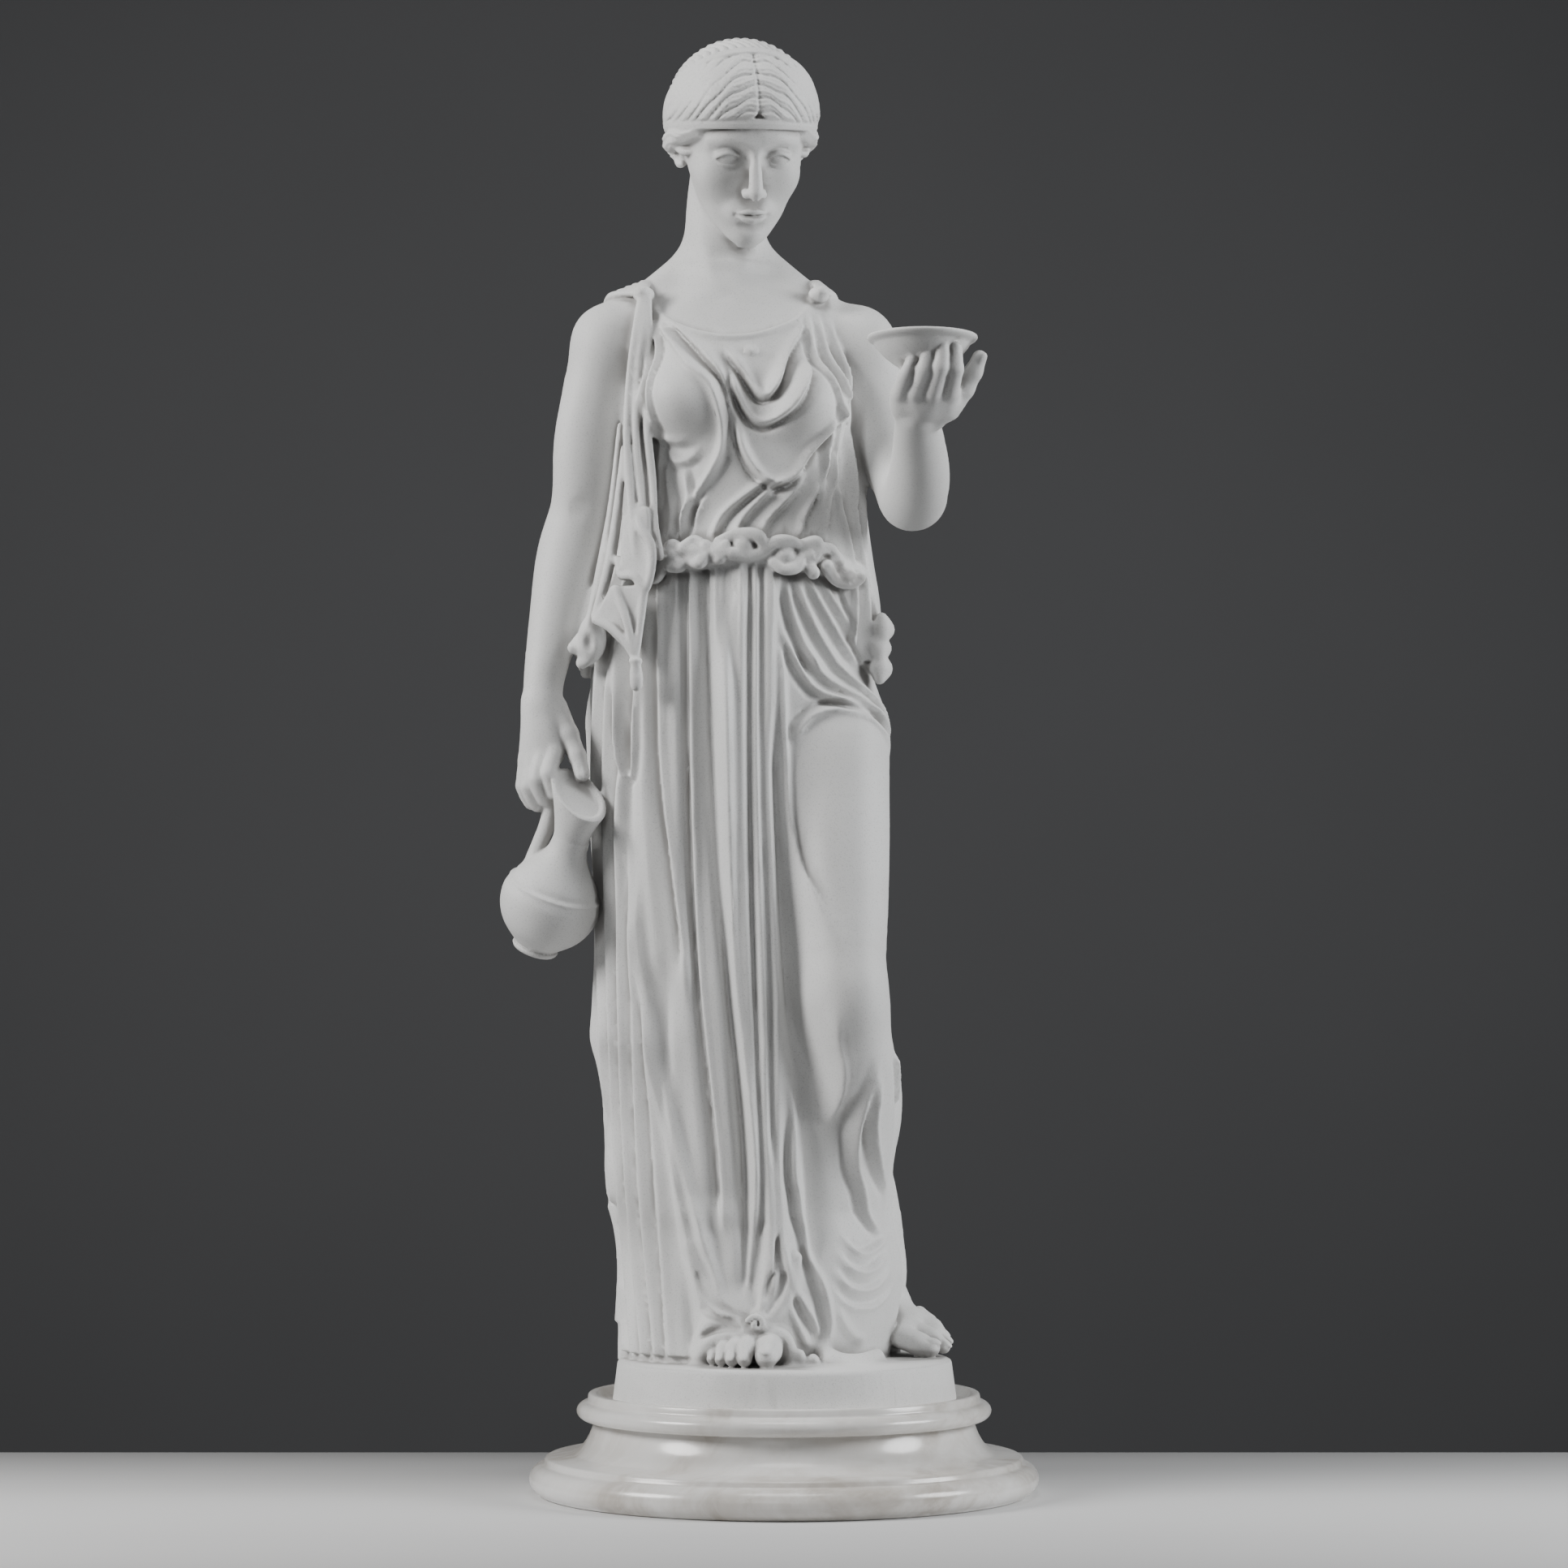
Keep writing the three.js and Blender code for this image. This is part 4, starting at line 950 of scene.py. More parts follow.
def eye(clay, side):
    """An eyeball between two lids with clean edges."""
    cx, cy, cz = side * 12.2, -25.0, 0.3
    clay.ball((cx, -35.8, cz + 0.6), (8.2, 5.8, 6.0), blend=4.5, cut=True)
    clay.ball((side * 5.8, -33.2, 0.6), (2.2, 2.4, 3.2), blend=3, cut=True)
    clay.ball((cx, cy, cz), (6.4, 6.2, 6.2), blend=0.8)

    def lid(radius, upper):
        def distance(x, y, z):
            u, rise = x - cx, z - cz
            shell = np.sqrt(u ** 2 + (y - cy) ** 2 + rise ** 2) - radius
            edge = (2.1 - 0.085 * u ** 2) - rise if upper else rise + 2.9 - 0.05 * u ** 2
            return smooth_max(shell, edge, 0.35)
        return distance

    reach = 9
    box = (cx - reach, cy - reach, cz - reach), (cx + reach, cy + reach, cz + reach)
    clay.place(*box, lid(7.35, True), blend=0.5)
    clay.place(*box, lid(7.1, False), blend=0.5)
    clay.stroke([(side * 6.4, -30.4, 3.2), (cx, -31.9, 5.4), (side * 18.2, -28.0, 3.0)], 0.9, -0.75)


def ear(clay, side):
    clay.ball((side * 27.5, 4.5, -3), (3.6, 6.0, 9.6), blend=2.5)
    clay.ball((side * 31.2, 2.2, -3.4), (2.4, 3.4, 5.2), blend=0.8, cut=True)
    rim = [(27.8, -0.5, 2.0, 1.3), (30.0, 2.5, 6.2, 1.5), (31.6, 7.5, 5.6, 1.6), (31.6, 9.6, 0.0, 1.6),
           (30.6, 7.6, -6.5, 1.5), (29.2, 3.4, -11.0, 2.2), (28.2, 0.6, -10.6, 1.8)]
    clay.tube([(side * x, y, z, r) for x, y, z, r in rim], blend=1.0)
    clay.ball((side * 28.8, -1.2, -4.6), (1.5, 1.6, 2.2), blend=1.0)


def locks(q, spacing):
    """Rounded locks side by side across q, with sharp grooves between them."""
    return np.abs(np.sin(math.pi * q / spacing)) ** 0.65


def hair_relief(x, y, z):
    """How far the locks stand out at points of the head."""
    out = np.abs(x)
    low, high = lower_band(y, z), upper_band(y, z)
    flow = 0.83 * low + x * x / 40               # the front locks fall from the parting to the band
    across = flow + 0.55 * np.sin(out * 0.42 + 0.3 * flow)
    front = 1.15 * locks(across, 5.2) + 0.65 * locks(across + 0.25 * np.sin(out * 0.8), 1.75)
    front -= 1.0 * np.exp(-(x / 1.1) ** 2)
    round_top = np.arctan2(x, z - 8) * 38
    across = round_top + 2.3 * np.sin(y / 4.6 + 0.10 * round_top)
    crown = 1.5 * locks(across, 3.9) + 0.45 * locks(across, 1.3)
    across = 0.83 * low + 0.9 * np.sin(y / 3.4)
    temple = 0.9 * locks(across + 1.5, 4.4) + 0.6 * locks(across, 1.75)
    full = (0.4 + 2.5 * ease(out / 30)) * np.sin(math.pi * np.clip(low / (low - high + TINY), 0, 1))
    notch = ease((6.5 - low - 1.0 * out) / 2)    # the bare forehead where the hair parts
    in_front = ease((low - 0.5) / 2) * ease((-high - 0.5) / 2)
    behind = ease((high - 0.5) / 2) * ease((low + 2) / 3)
    below = ease((-low - 0.5) / 2)
    hair_here = ease((hairline(y, z) + 0.5) / 2.5)
    return hair_here * (in_front * mix(front + full, -1.6, notch) + behind * crown + below * temple)


def fillet(clay, slope, level, shift=0.0):
    """A band of three cords round the head, in the plane z + slope * y = level.

    It lies just outside the cap of hair, moved back by `shift` to sit on the forehead.
    """
    centre = CAP_CENTRE + (0, shift, 0)
    normal = unit((0, slope, 1))
    along = unit((0, -1, slope))
    start = np.array([0, centre[1], level - slope * centre[1]])
    scale = CAP_RADII + BAND_LIFT
    for step in (-CORD_STEP, 0, CORD_STEP):
        cord = []
        for a in np.linspace(0, TURN, 73):
            way = math.cos(a) * np.array([1.0, 0, 0]) + math.sin(a) * along
            origin = (start + step * normal - centre) / scale
            ray = way / scale
            b, c = origin @ ray, origin @ origin - 1
            reach = (-b + math.sqrt(b * b - (ray @ ray) * c)) / (ray @ ray)
            cord.append([*(start + step * normal + way * reach), 1.05 if step else 1.2])
        clay.tube(cord, blend=0.5, steps=2)


def hair(clay):
    def cap(x, y, z):
        p = [(a - c) / r for a, c, r in zip((x, y, z), CAP_CENTRE, CAP_RADII)]
        k0 = np.sqrt(sum(a ** 2 for a in p))
        k1 = np.sqrt(sum((a / r) ** 2 for a, r in zip(p, CAP_RADII))) + TINY
        return smooth_max(k0 * (k0 - 1) / k1, -hairline(y, z) / 1.25, 2.0)

    clay.place((-44, -46, -40), (44, 52, 56), cap, blend=1.0)
    for side in (-1, 1):               # rolls over the temples and the tops of the ears
        clay.tube([(side * 25, -20, 10, 2.5), (side * 29.5, -12, 6.5, 4.2), (side * 31.5, -3, 3.5, 4.8),
                   (side * 31.5, 7, -1.5, 4.8), (side * 28, 17, -6, 4.5)], blend=2)
        clay.tube([(side * 27.5, -13, -1, 1.4), (side * 29.8, -8, -2, 2.6),
                   (side * 31.4, -1, -0.5, 3.0)], blend=1.2)
    clay.ball((0, 40, 8), (15, 12, 14), blend=2)
    clay.carve((-44, -46, -44), (44, 42, 56), hair_relief)

    def knot_relief(x, y, z):
        angle = np.arctan2(z - 8, x)
        reach = np.hypot(x, z - 8)
        inside = ease((17 - reach) / 3) * ease((y - 40) / 3)
        across = reach + angle * 5.0 / math.pi     # the locks wind out from the middle
        return inside * (1.3 * locks(across, 5.0) + 0.4 * locks(across, 1.7))

    clay.carve((-20, 36, -12), (20, 58, 28), knot_relief)
    fillet(clay, *LOWER_BAND, shift=3.1)
    fillet(clay, *UPPER_BAND)


# ---- Jug and bowl ------------------------------------------------------------------------------

JUG_FOOT, JUG_AXIS = (-121, 3, 259.5), (0.321, -0.342, 0.883)
# Height along the jug's axis from its foot, and radius.
JUG_PROFILE = [
    (0, 10.0), (0.8, 10.8), (2.6, 11.2), (3.4, 10.6), (4.4, 11.6), (7, 14.6), (11, 18.6), (15.5, 21.6),
    (20, 23.4), (25, 24.3), (29, 24.2), (33.2, 23.0), (34.2, 22.9), (34.6, 22.2), (38, 20.2), (42.5, 17.0),
    (47, 13.4), (51, 10.8), (55, 9.2), (60, 8.4),
]
# The jug's mouth: its middle, the ways its long and short diameters run, and their halves.
MOUTH, MOUTH_LONG, MOUTH_WIDE = (-98, -24, 333.5), (-0.531, 0.366, 0.764), (0.754, 0.609, 0.233)
MOUTH_HALF = (17.5, 12.5)


def jug(clay):
    """The turned body, the neck flaring to an oval mouth, and the handle."""
    clay.lathe(JUG_FOOT, JUG_AXIS, JUG_PROFILE, blend=0.5, edge=0.5)
    mouth, long, wide = np.array(MOUTH), unit(MOUTH_LONG), unit(MOUTH_WIDE)
    face = unit(np.cross(wide, long))
    face = face if face[1] < 0 else -face      # out of the mouth
    neck = np.array(JUG_FOOT) + unit(JUG_AXIS) * 57

    def flare(x, y, z):
        p = [x - mouth[0], y - mouth[1], z - mouth[2]]
        a, b, h = (sum(p[k] * float(d[k]) for k in range(3)) for d in (long, wide, face))
        down = mouth - neck
        depth = float(down @ face)
        t = np.clip(1 + h / depth, 0, 1)           # 0 at the neck, 1 at the mouth's face
        shift = neck - mouth + face * depth
        a0, b0 = float(shift @ long), float(shift @ wide)
        grow = t ** 1.6
        ra, rb = mix(8.6, MOUTH_HALF[0], grow), mix(8.4, MOUTH_HALF[1], grow)
        a, b = a - a0 * (1 - t), b - b0 * (1 - t)
        k0 = np.sqrt((a / ra) ** 2 + (b / rb) ** 2)
        k1 = np.sqrt((a / ra ** 2) ** 2 + (b / rb ** 2) ** 2) + TINY
        d = k0 * (k0 - 1) / k1 * 0.85
        dish = 1.3 * ease((0.86 - k0) / 0.12)
        d = smooth_max(d, h + dish, 0.7)
        return smooth_max(d, -depth - 3 - h, 1.0)

    reach = 26
    clay.place(mouth - reach, mouth + reach, flare, blend=1.5)
    clay.tube([(-122, -8, 300, 4.0), (-117.5, -9, 311, 3.9), (-114, -10, 320, 3.9), (-111.5, -12, 330, 3.9),
               (-108, -15, 339, 3.6)], blend=1.2)


# The bowl: the middle of its rim, then height from the rim and radius, outside and inside.
BOWL_RIM = (63.5, -113, 539)
BOWL_OUTER = [
    (-20.5, 9.6), (-19.5, 10.4), (-17.6, 10.6), (-16.4, 9.8), (-15.2, 10.4), (-13, 13.4), (-10, 17.2),
    (-6, 20.8), (-3.4, 22.8), (-2.4, 24.4), (-1.4, 25.3), (0, 25.4),
]
BOWL_INNER = [
    (-12.6, 0.5), (-11.8, 7), (-10.4, 11.5), (-8.3, 15.8), (-5, 19.4), (-2.6, 21.4), (-1.0, 22.6),
    (3, 23.4),
]


def bowl(clay):
    clay.lathe(BOWL_RIM, (0, 0, 1), BOWL_OUTER, blend=0.4, edge=0.9)
    clay.lathe(BOWL_RIM, (0, 0, 1), BOWL_INNER, blend=0.8, edge=0.1, cut=True)


# ---- Hands and feet ----------------------------------------------------------------------------

def digit(clay, stations, nail=None, blend=1.2):
    """A finger or toe, fuller at its joints. `nail` is the way its nail faces."""
    s = np.array(stations, float)
    clay.tube(s, blend=blend)
    for p in s[1:-1]:
        clay.ball(p[:3], (p[3] * 1.06,) * 3, blend=1.5)
    if nail is None:
        return
    tip, before = s[-1], s[-2]
    along = unit(tip[:3] - before[:3])
    face = np.array(nail, float)
    face = unit(face - (face @ along) * along)
    side = np.cross(along, face)
    centre = tip[:3] + along * tip[3] * 0.1 + face * tip[3] * 0.72
    r = tip[3]
    clay.ball(centre, (r * 0.95, r * 0.66, r * 0.36), blend=0.3, turned=(along, side, face))
    rim = [centre - along * r * back + side * r * out + face * 0.1
           for back, out in ((0.2, 0.72), (0.95, 0.4), (0.95, -0.4), (0.2, -0.72))]
    clay.stroke(rim, 0.55, -0.35, taper=False)


def right_hand():
    """The hand on the jug, with the jug it carries."""
    block = Detail((-152, -48, 250), (-84, 28, 404), blend=1.0)
    clay = block.clay
    wrist = [(-113.5, -3, 406, 11.0), (-116, -7, 390, 9.4), (-116.8, -9, 377, 8.6)]
    clay.tube(wrist, blend=1)
    knuckles = [(-110.5, -15, 353, 4.9), (-116, -14.5, 351, 4.9), (-120.8, -12.5, 350, 4.6),
                (-124, -9, 351, 4.2)]
    for x, y, z, r in knuckles:
        clay.tube([(-116.8 + (x + 117) * 0.35, -9 + (y + 12) * 0.3, 379, 7.2),
                   (mix(-116.8, x, 0.6), mix(-10, y, 0.6), 365, 6.0), (x, y, z, r)], blend=3)
    fingers = [((-110.5, -16, 354, 4.6), (-112.8, -20.5, 343.5, 3.7), (-110.4, -18, 335, 3.3),
                (-106, -11.5, 333.5, 2.9)),
               ((-116, -15.5, 352, 4.6), (-118.6, -18.6, 340.5, 3.7), (-115, -15.4, 332, 3.3),
                (-108.5, -9, 331.5, 2.9)),
               ((-120.6, -12.8, 351, 4.3), (-123, -14.4, 337.5, 3.5), (-119, -11.2, 329.5, 3.2),
                (-111.5, -5, 329.8, 2.8)),
               ((-124, -9, 352, 4.0), (-125.8, -9, 338.5, 3.2), (-122, -6, 330.5, 2.9),
                (-114.5, -1.5, 331, 2.6))]
    for finger in fingers:
        digit(clay, finger)
    digit(clay, [(-110.5, -10.5, 376, 6.2), (-104, -13, 363, 4.9), (-99.4, -16, 352.5, 4.1),
                 (-96.8, -18.6, 343.5, 3.7)],
          nail=(0.55, -0.75, 0.35), blend=2.0)
    jug(clay)
    return block


def left_hand():
    """The hand under the bowl, with the bowl."""
    block = Detail((30, -146, 474), (102, -78, 552), blend=1.0)
    clay = block.clay
    clay.tube([(63, -78, 495, 11.6), (61.7, -92, 500, 9.8), (61.6, -99, 503, 9.0),
               (64, -108, 508, 9.5)], blend=2)
    clay.ball((65, -108, 509), (15.5, 11, 8.5), blend=3)
    roots = [(54, -113, 512, 5.4), (60.5, -115.5, 512, 5.7), (68, -116.5, 512, 5.8),
             (75.5, -115, 512.5, 5.6)]
    for x, y, z, r in roots:
        clay.tube([(mix(62, x, 0.5), -101, 504, 7.0), (mix(62, x, 0.85), -108, 508, 6.4),
                   (x, y, z, r)], blend=2.5)
    fingers = [((53.5, -116, 512, 4.2), (55.4, -122.5, 518, 3.4), (58.4, -124.6, 525.5, 2.9)),
               ((60.4, -119, 512, 4.3), (64.0, -126.2, 521, 3.6), (65.6, -127.2, 531, 3.1)),
               ((68.2, -120, 512, 4.4), (71.3, -127.6, 522, 3.7), (72.4, -128, 532.5, 3.2)),
               ((76, -118.5, 513, 4.3), (78.0, -125.6, 521.5, 3.6), (78.2, -126.4, 530.5, 3.1))]
    for finger in fingers:
        digit(clay, finger, nail=(0, -1, 0.25))
    digit(clay, [(75, -104, 508, 7.2), (82.5, -108.5, 515.5, 5.0), (87, -112.5, 522.5, 4.0),
                 (89.6, -115, 528.5, 3.4)],
          nail=(0.6, -0.8, 0.2), blend=2.0)
    bowl(clay)
    return block


def standing_foot():
    """The front of the right foot, on the plinth under the hem."""
    block = Detail((-46, -74, GROUND - 4), (18, -18, 104), blend=1.2)
    clay = block.clay
    g = GROUND
    clay.tube([(-14, -6, g + 24, 14), (-15, -24, g + 16, 13), (-16.5, -36, g + 9.5, 10)], blend=2)
    clay.ball((-8.5, -38, g + 8.5), (10, 14, 10), blend=3)
    clay.ball((-22, -35, g + 8), (13, 12.5, 9.5), blend=3)
    toes = [((-7.0, -44, 10.5, 6.8), (-7.6, -53, 7.6, 6.3), (-8.2, -60, 5.2, 5.3)),
            ((-15.8, -46, 12.0, 4.3), (-17.4, -54.5, 9.4, 3.9), (-18.4, -60.5, 4.1, 3.5)),
            ((-20.8, -44.5, 11.6, 4.1), (-23.0, -52.4, 8.8, 3.6), (-24.3, -58, 3.8, 3.2)),
            ((-25.6, -42, 10.8, 3.9), (-28.0, -49, 8.0, 3.4), (-29.3, -54, 3.5, 3.0)),
            ((-29.8, -38, 9.6, 3.8), (-32.2, -43.6, 7.2, 3.2), (-33.4, -47.6, 3.3, 2.8))]
    for toe in toes:
        digit(clay, [(x, y, g + z, r) for x, y, z, r in toe], nail=(0, -0.35, 1))
    return block


def trailing_foot():
    """The left foot, turned out, with its heel raised."""
    block = Detail((26, -14, GROUND - 4), (92, 66, 132), blend=1.2)
    clay = block.clay
    g = GROUND
    clay.tube([(35, 38, g + 60, 11), (41, 41, g + 42, 12.5), (49, 34, g + 25, 12.5),
               (56, 24, g + 14, 10)], blend=2)
    clay.ball((57, 15, g + 11), (10, 9, 8), blend=4)
    clay.ball((61, 24, g + 15), (9, 11, 7.5), blend=4)
    toes = [((57, 9, 9.6, 6.2), (64.5, 4, 6.4, 5.3), (70.5, 1.5, 4.8, 4.5)),
            ((63, 14, 12.5, 4.6), (71, 9.6, 9.5, 3.9), (76.8, 7, 4.8, 3.4)),
            ((65.5, 20, 15, 4.4), (73, 16, 11.5, 3.7), (78, 14, 6.6, 3.2)),
            ((66.5, 27, 17, 4.2), (73, 23, 13.2, 3.5), (77.2, 21, 8.8, 3.0)),
            ((66, 34, 18.5, 4.0), (71, 31, 15, 3.3), (74.4, 29, 11.5, 2.8))]
    for toe in toes:
        digit(clay, [(x, y, g + z, r) for x, y, z, r in toe], nail=(0.5, -0.3, 1))
    return block


# ---- From clay to a mesh -----------------------------------------------------------------------

class Detail:
    """A finer block of clay, with its own place and turn, that belongs to the same stone."""

    def __init__(self, low, high, centre=(0, 0, 0), axes=None, blend=1.2):
        self.clay = Clay(low, high, FINE)
        self.centre = np.array(centre, float)
        self.axes = np.eye(3) if axes is None else np.array(axes, float)
        self.blend = blend
        corners = np.array([[(low, high)[i][0], (low, high)[j][1], (low, high)[k][2]]
                            for i in (0, 1) for j in (0, 1) for k in (0, 1)], float)
        placed = corners @ self.axes + self.centre
        self.low, self.high = placed.min(0), placed.max(0)

    def value(self, points):
        """The distance at any points, or FAR outside the block."""
        out = np.full(len(points), FAR, np.float32)
        near = np.where(np.all((points > self.low) & (points < self.high), axis=1))[0]
        local = (points[near] - self.centre) @ self.axes.T
        held = self.clay.holds(local)
        out[near[held]] = self.clay.sample(local[held])
        return out


class Stone:
    """The whole figure: the body and its finer blocks, read as one surface."""

    def __init__(self, body, details):
        self.body, self.details = body, details

    def value(self, points):
        total = self.body.sample(points)
        for detail in self.details:
            near = detail.value(points)
            joined = near < FAR - 1
            total[joined] = smooth_min(total[joined], near[joined], detail.blend)
        return total

    def slope(self, points):
        """Which way, and how steeply, the distance grows at the points."""
        step = 0.4
        out = np.empty((len(points), 3), np.float32)
        for i in range(3):
            shift = np.zeros(3)
            shift[i] = step
            out[:, i] = (self.value(points + shift) - self.value(points - shift)) / (2 * step)
        return out

    def settle(self, points, rounds):
        """Moves points onto the surface."""
        for _ in range(rounds):
            slope = self.slope(points)
            move = self.value(points)[:, None] * slope / ((slope ** 2).sum(1)[:, None] + 0.05)
            points = points - np.clip(move, -LONGEST_STEP, LONGEST_STEP)
        return points

    def rough(self):
        """A first mesh of the whole figure at the body's grain."""
        body = self.body
        field = body.field.copy()
        for detail in self.details:
            span, (x, y, z) = body.window(detail.low, detail.high)
            x, y, z = np.broadcast_arrays(x, y, z)
            points = np.stack([x.ravel(), y.ravel(), z.ravel()], axis=1)
            field[span] = self.value(points).reshape(x.shape)
        band = 3.0
        grid = openvdb.FloatGrid(band)
        grid.copyFromArray(np.clip(field, -band, band))
        points, quads = grid.convertToQuads(0.0)
        points = points * body.grain + body.low
        quads = quads.astype(np.int64)
        return points, np.vstack([quads[:, [0, 1, 2]], quads[:, [0, 2, 3]]])


def refine(points, faces, wanted):
    """Splits the wanted triangles in four, and their neighbours to match."""
    count = len(points)
    ends = np.sort(np.stack([faces, np.roll(faces, -1, axis=1)], axis=2), axis=2)
    keys = ends[..., 0] * count + ends[..., 1]
    split = np.unique(keys[wanted])
    if not len(split):
        return points, faces
    points = np.vstack([points, (points[split // count] + points[split % count]) / 2])
    place = np.clip(np.searchsorted(split, keys), 0, len(split) - 1)
    cut = split[place] == keys
    middle = count + place
    number = cut.sum(1)
    out = [faces[number == 0]]
    f, m = faces[number == 3], middle[number == 3]
    out += [np.stack(t, axis=1) for t in (
        (f[:, 0], m[:, 0], m[:, 2]), (m[:, 0], f[:, 1], m[:, 1]),
        (m[:, 2], m[:, 1], f[:, 2]), (m[:, 0], m[:, 1], m[:, 2]))]
    for turn in range(3):
        f, m, c = (np.roll(a, -turn, axis=1) for a in (faces, middle, cut))
        one = (number == 1) & c[:, 0]
        out.append(np.stack([f[one, 0], m[one, 0], f[one, 2]], axis=1))
        out.append(np.stack([m[one, 0], f[one, 1], f[one, 2]], axis=1))
        two = (number == 2) & ~c[:, 0]
        out.append(np.stack([f[two, 0], f[two, 1], m[two, 1]], axis=1))
        out.append(np.stack([f[two, 0], m[two, 1], m[two, 2]], axis=1))
        out.append(np.stack([m[two, 2], m[two, 1], f[two, 2]], axis=1))
    return points, np.vstack(out)


def largest_piece(points, faces):
    """Keeps the one connected surface and drops any loose crumb or hidden hollow."""
    label = np.arange(len(points))
    ends = np.vstack([faces[:, [0, 1]], faces[:, [1, 2]], faces[:, [2, 0]]])
    for _ in range(400):
        low = np.minimum(label[ends[:, 0]], label[ends[:, 1]])
        before = label.copy()
        np.minimum.at(label, label[ends[:, 0]], low)
        np.minimum.at(label, label[ends[:, 1]], low)
        label = label[label]
        if np.array_equal(before, label):
            break
    names, sizes = np.unique(label[faces[:, 0]], return_counts=True)
    kept = faces[label[faces[:, 0]] == names[np.argmax(sizes)]]
    used = np.unique(kept)
    return points[used], np.searchsorted(used, kept)


def mesh_object(name, points, faces):
    """A mesh object from points in millimetres."""
    mesh = bpy.data.meshes.new(name)
    mesh.vertices.add(len(points))
    mesh.vertices.foreach_set("co", (np.asarray(points, np.float32) * MM).ravel())
    corners = len(faces[0])
    mesh.loops.add(len(faces) * corners)
    mesh.loops.foreach_set("vertex_index", np.asarray(faces, np.int32).ravel())
    mesh.polygons.add(len(faces))
    mesh.polygons.foreach_set("loop_start", np.arange(0, len(faces) * corners, corners, dtype=np.int32))
    mesh.update(calc_edges=True)
    mesh.validate()
    obj = bpy.data.objects.new(name, mesh)
    bpy.context.scene.collection.objects.link(obj)
    return obj


def baked(obj):
    """The object with its modifiers applied."""
    graph = bpy.context.evaluated_depsgraph_get()
    mesh = bpy.data.meshes.new_from_object(obj.evaluated_get(graph))
    mesh.name = obj.name
    obj.modifiers.clear()
    obj.data = mesh
    return obj


def carve(stone):
    """The figure's finished mesh."""
    points, faces = stone.rough()
    near = np.zeros(len(points), bool)
    for detail in stone.details:
        near |= np.abs(detail.value(points)) < 1.2       # the detail's own surface, meshed finer
    points, faces = refine(points, faces, near[faces].all(axis=1))
    points = stone.settle(points, 2)
    points, faces = largest_piece(points, faces)
    a, b, c = (points[faces[:, i]] for i in range(3))
    if (np.cross(a, b) * c).sum() < 0:
        faces = faces[:, ::-1]
    figure = mesh_object("carved_figure", points, faces)
    if len(faces) > FIGURE_TRIANGLES:
        collapse = figure.modifiers.new("collapse", "DECIMATE")
        collapse.ratio = FIGURE_TRIANGLES / len(faces)
        figure = baked(figure)
    mesh = figure.data
    mesh.shade_smooth()
    shade_hollows(mesh, stone)
    return figure


def shade_hollows(mesh, stone):
    """Writes how deep in a hollow each vertex lies, which the stone's colour uses to paint shade into the
    hollows.
    """
    count = len(mesh.vertices)
    at, out = np.empty(count * 3, np.float32), np.empty(count * 3, np.float32)
    mesh.vertices.foreach_get("co", at)
    mesh.vertices.foreach_get("normal", out)
    at, out = at.reshape(-1, 3) / MM, out.reshape(-1, 3)
    hollow = np.zeros(count)
    for reach in (2.2, 6.0):
        hollow += 0.5 * np.clip(1 - stone.value(at + out * reach) / reach, 0, 1)
    # stored for the painted shade in the marble's colour
    layer = mesh.attributes.new("hollow", "FLOAT", "POINT")
    layer.data.foreach_set("value", hollow.astype(np.float32))


def turned(name, profile):
    """A solid of revolution about Z. Its profile of (radius, height) starts and ends on the axis."""
    segments = 160
    angles = np.linspace(0, TURN, segments, endpoint=False)
    ring = np.column_stack([np.cos(angles), np.sin(angles)])
    points = [np.array([[0, 0, profile[0][1]]])]
    for radius, height in profile[1:-1]:
        points.append(np.column_stack([ring * radius, np.full(segments, height)]))
    points.append(np.array([[0, 0, profile[-1][1]]]))
    k = np.arange(segments)
    after = (k + 1) % segments
    faces = [np.column_stack([np.zeros(segments, int), 1 + after, 1 + k])]
    rings = len(profile) - 2
    for j in range(rings - 1):
        low, high = 1 + j * segments, 1 + (j + 1) * segments
        faces.append(np.column_stack([low + k, low + after, high + after]))
        faces.append(np.column_stack([low + k, high + after, high + k]))
    last, top = 1 + (rings - 1) * segments, 1 + rings * segments
    faces.append(np.column_stack([last + k, last + after, np.full(segments, top)]))
    return mesh_object(name, np.vstack(points), np.vstack(faces))


def moulding(centre, radii, start, end, steps):
    """Points of a rounded moulding between two angles, in degrees."""
    angles = np.radians(np.linspace(start, end, steps))
    return [(centre[0] + radii[0] * math.cos(a), centre[1] + radii[1] * math.sin(a)) for a in angles]


def base_profile():
    """Radius and height from the axis underneath, round the outside, into the plinth's recess."""
    top, floor = BASE_HEIGHT, SEAT
    return [
        (0, 0), (60, 0), (115.6, 0), (117, 0.5), (117.6, 1.0),
        *moulding((114, 7.6), (7.8, 7.2), -60, 82, 16),
        (114.7, 15.2), (114.6, 16.6), (114.1, 17.4), (113.2, 17.9),
        *moulding((106, 41), (15.5, 22.6), -106, -172, 16),
        (90.9, 35.0), (91.6, 35.3), (94.6, 35.4),
        *moulding((93.8, 39.6), (5.5, 4.4), -62, 80, 14),
        (94.2, 44.3), (94.0, 45.0), (93.8, 47.0), (93.4, top - 0.3), (92.9, top),
        (90.4, top), (89.8, top - 0.3), (88.2, floor + 0.3), (87.8, floor), (50, floor), (0, floor),
    ]


# ---- Finishes ----------------------------------------------------------------------------------

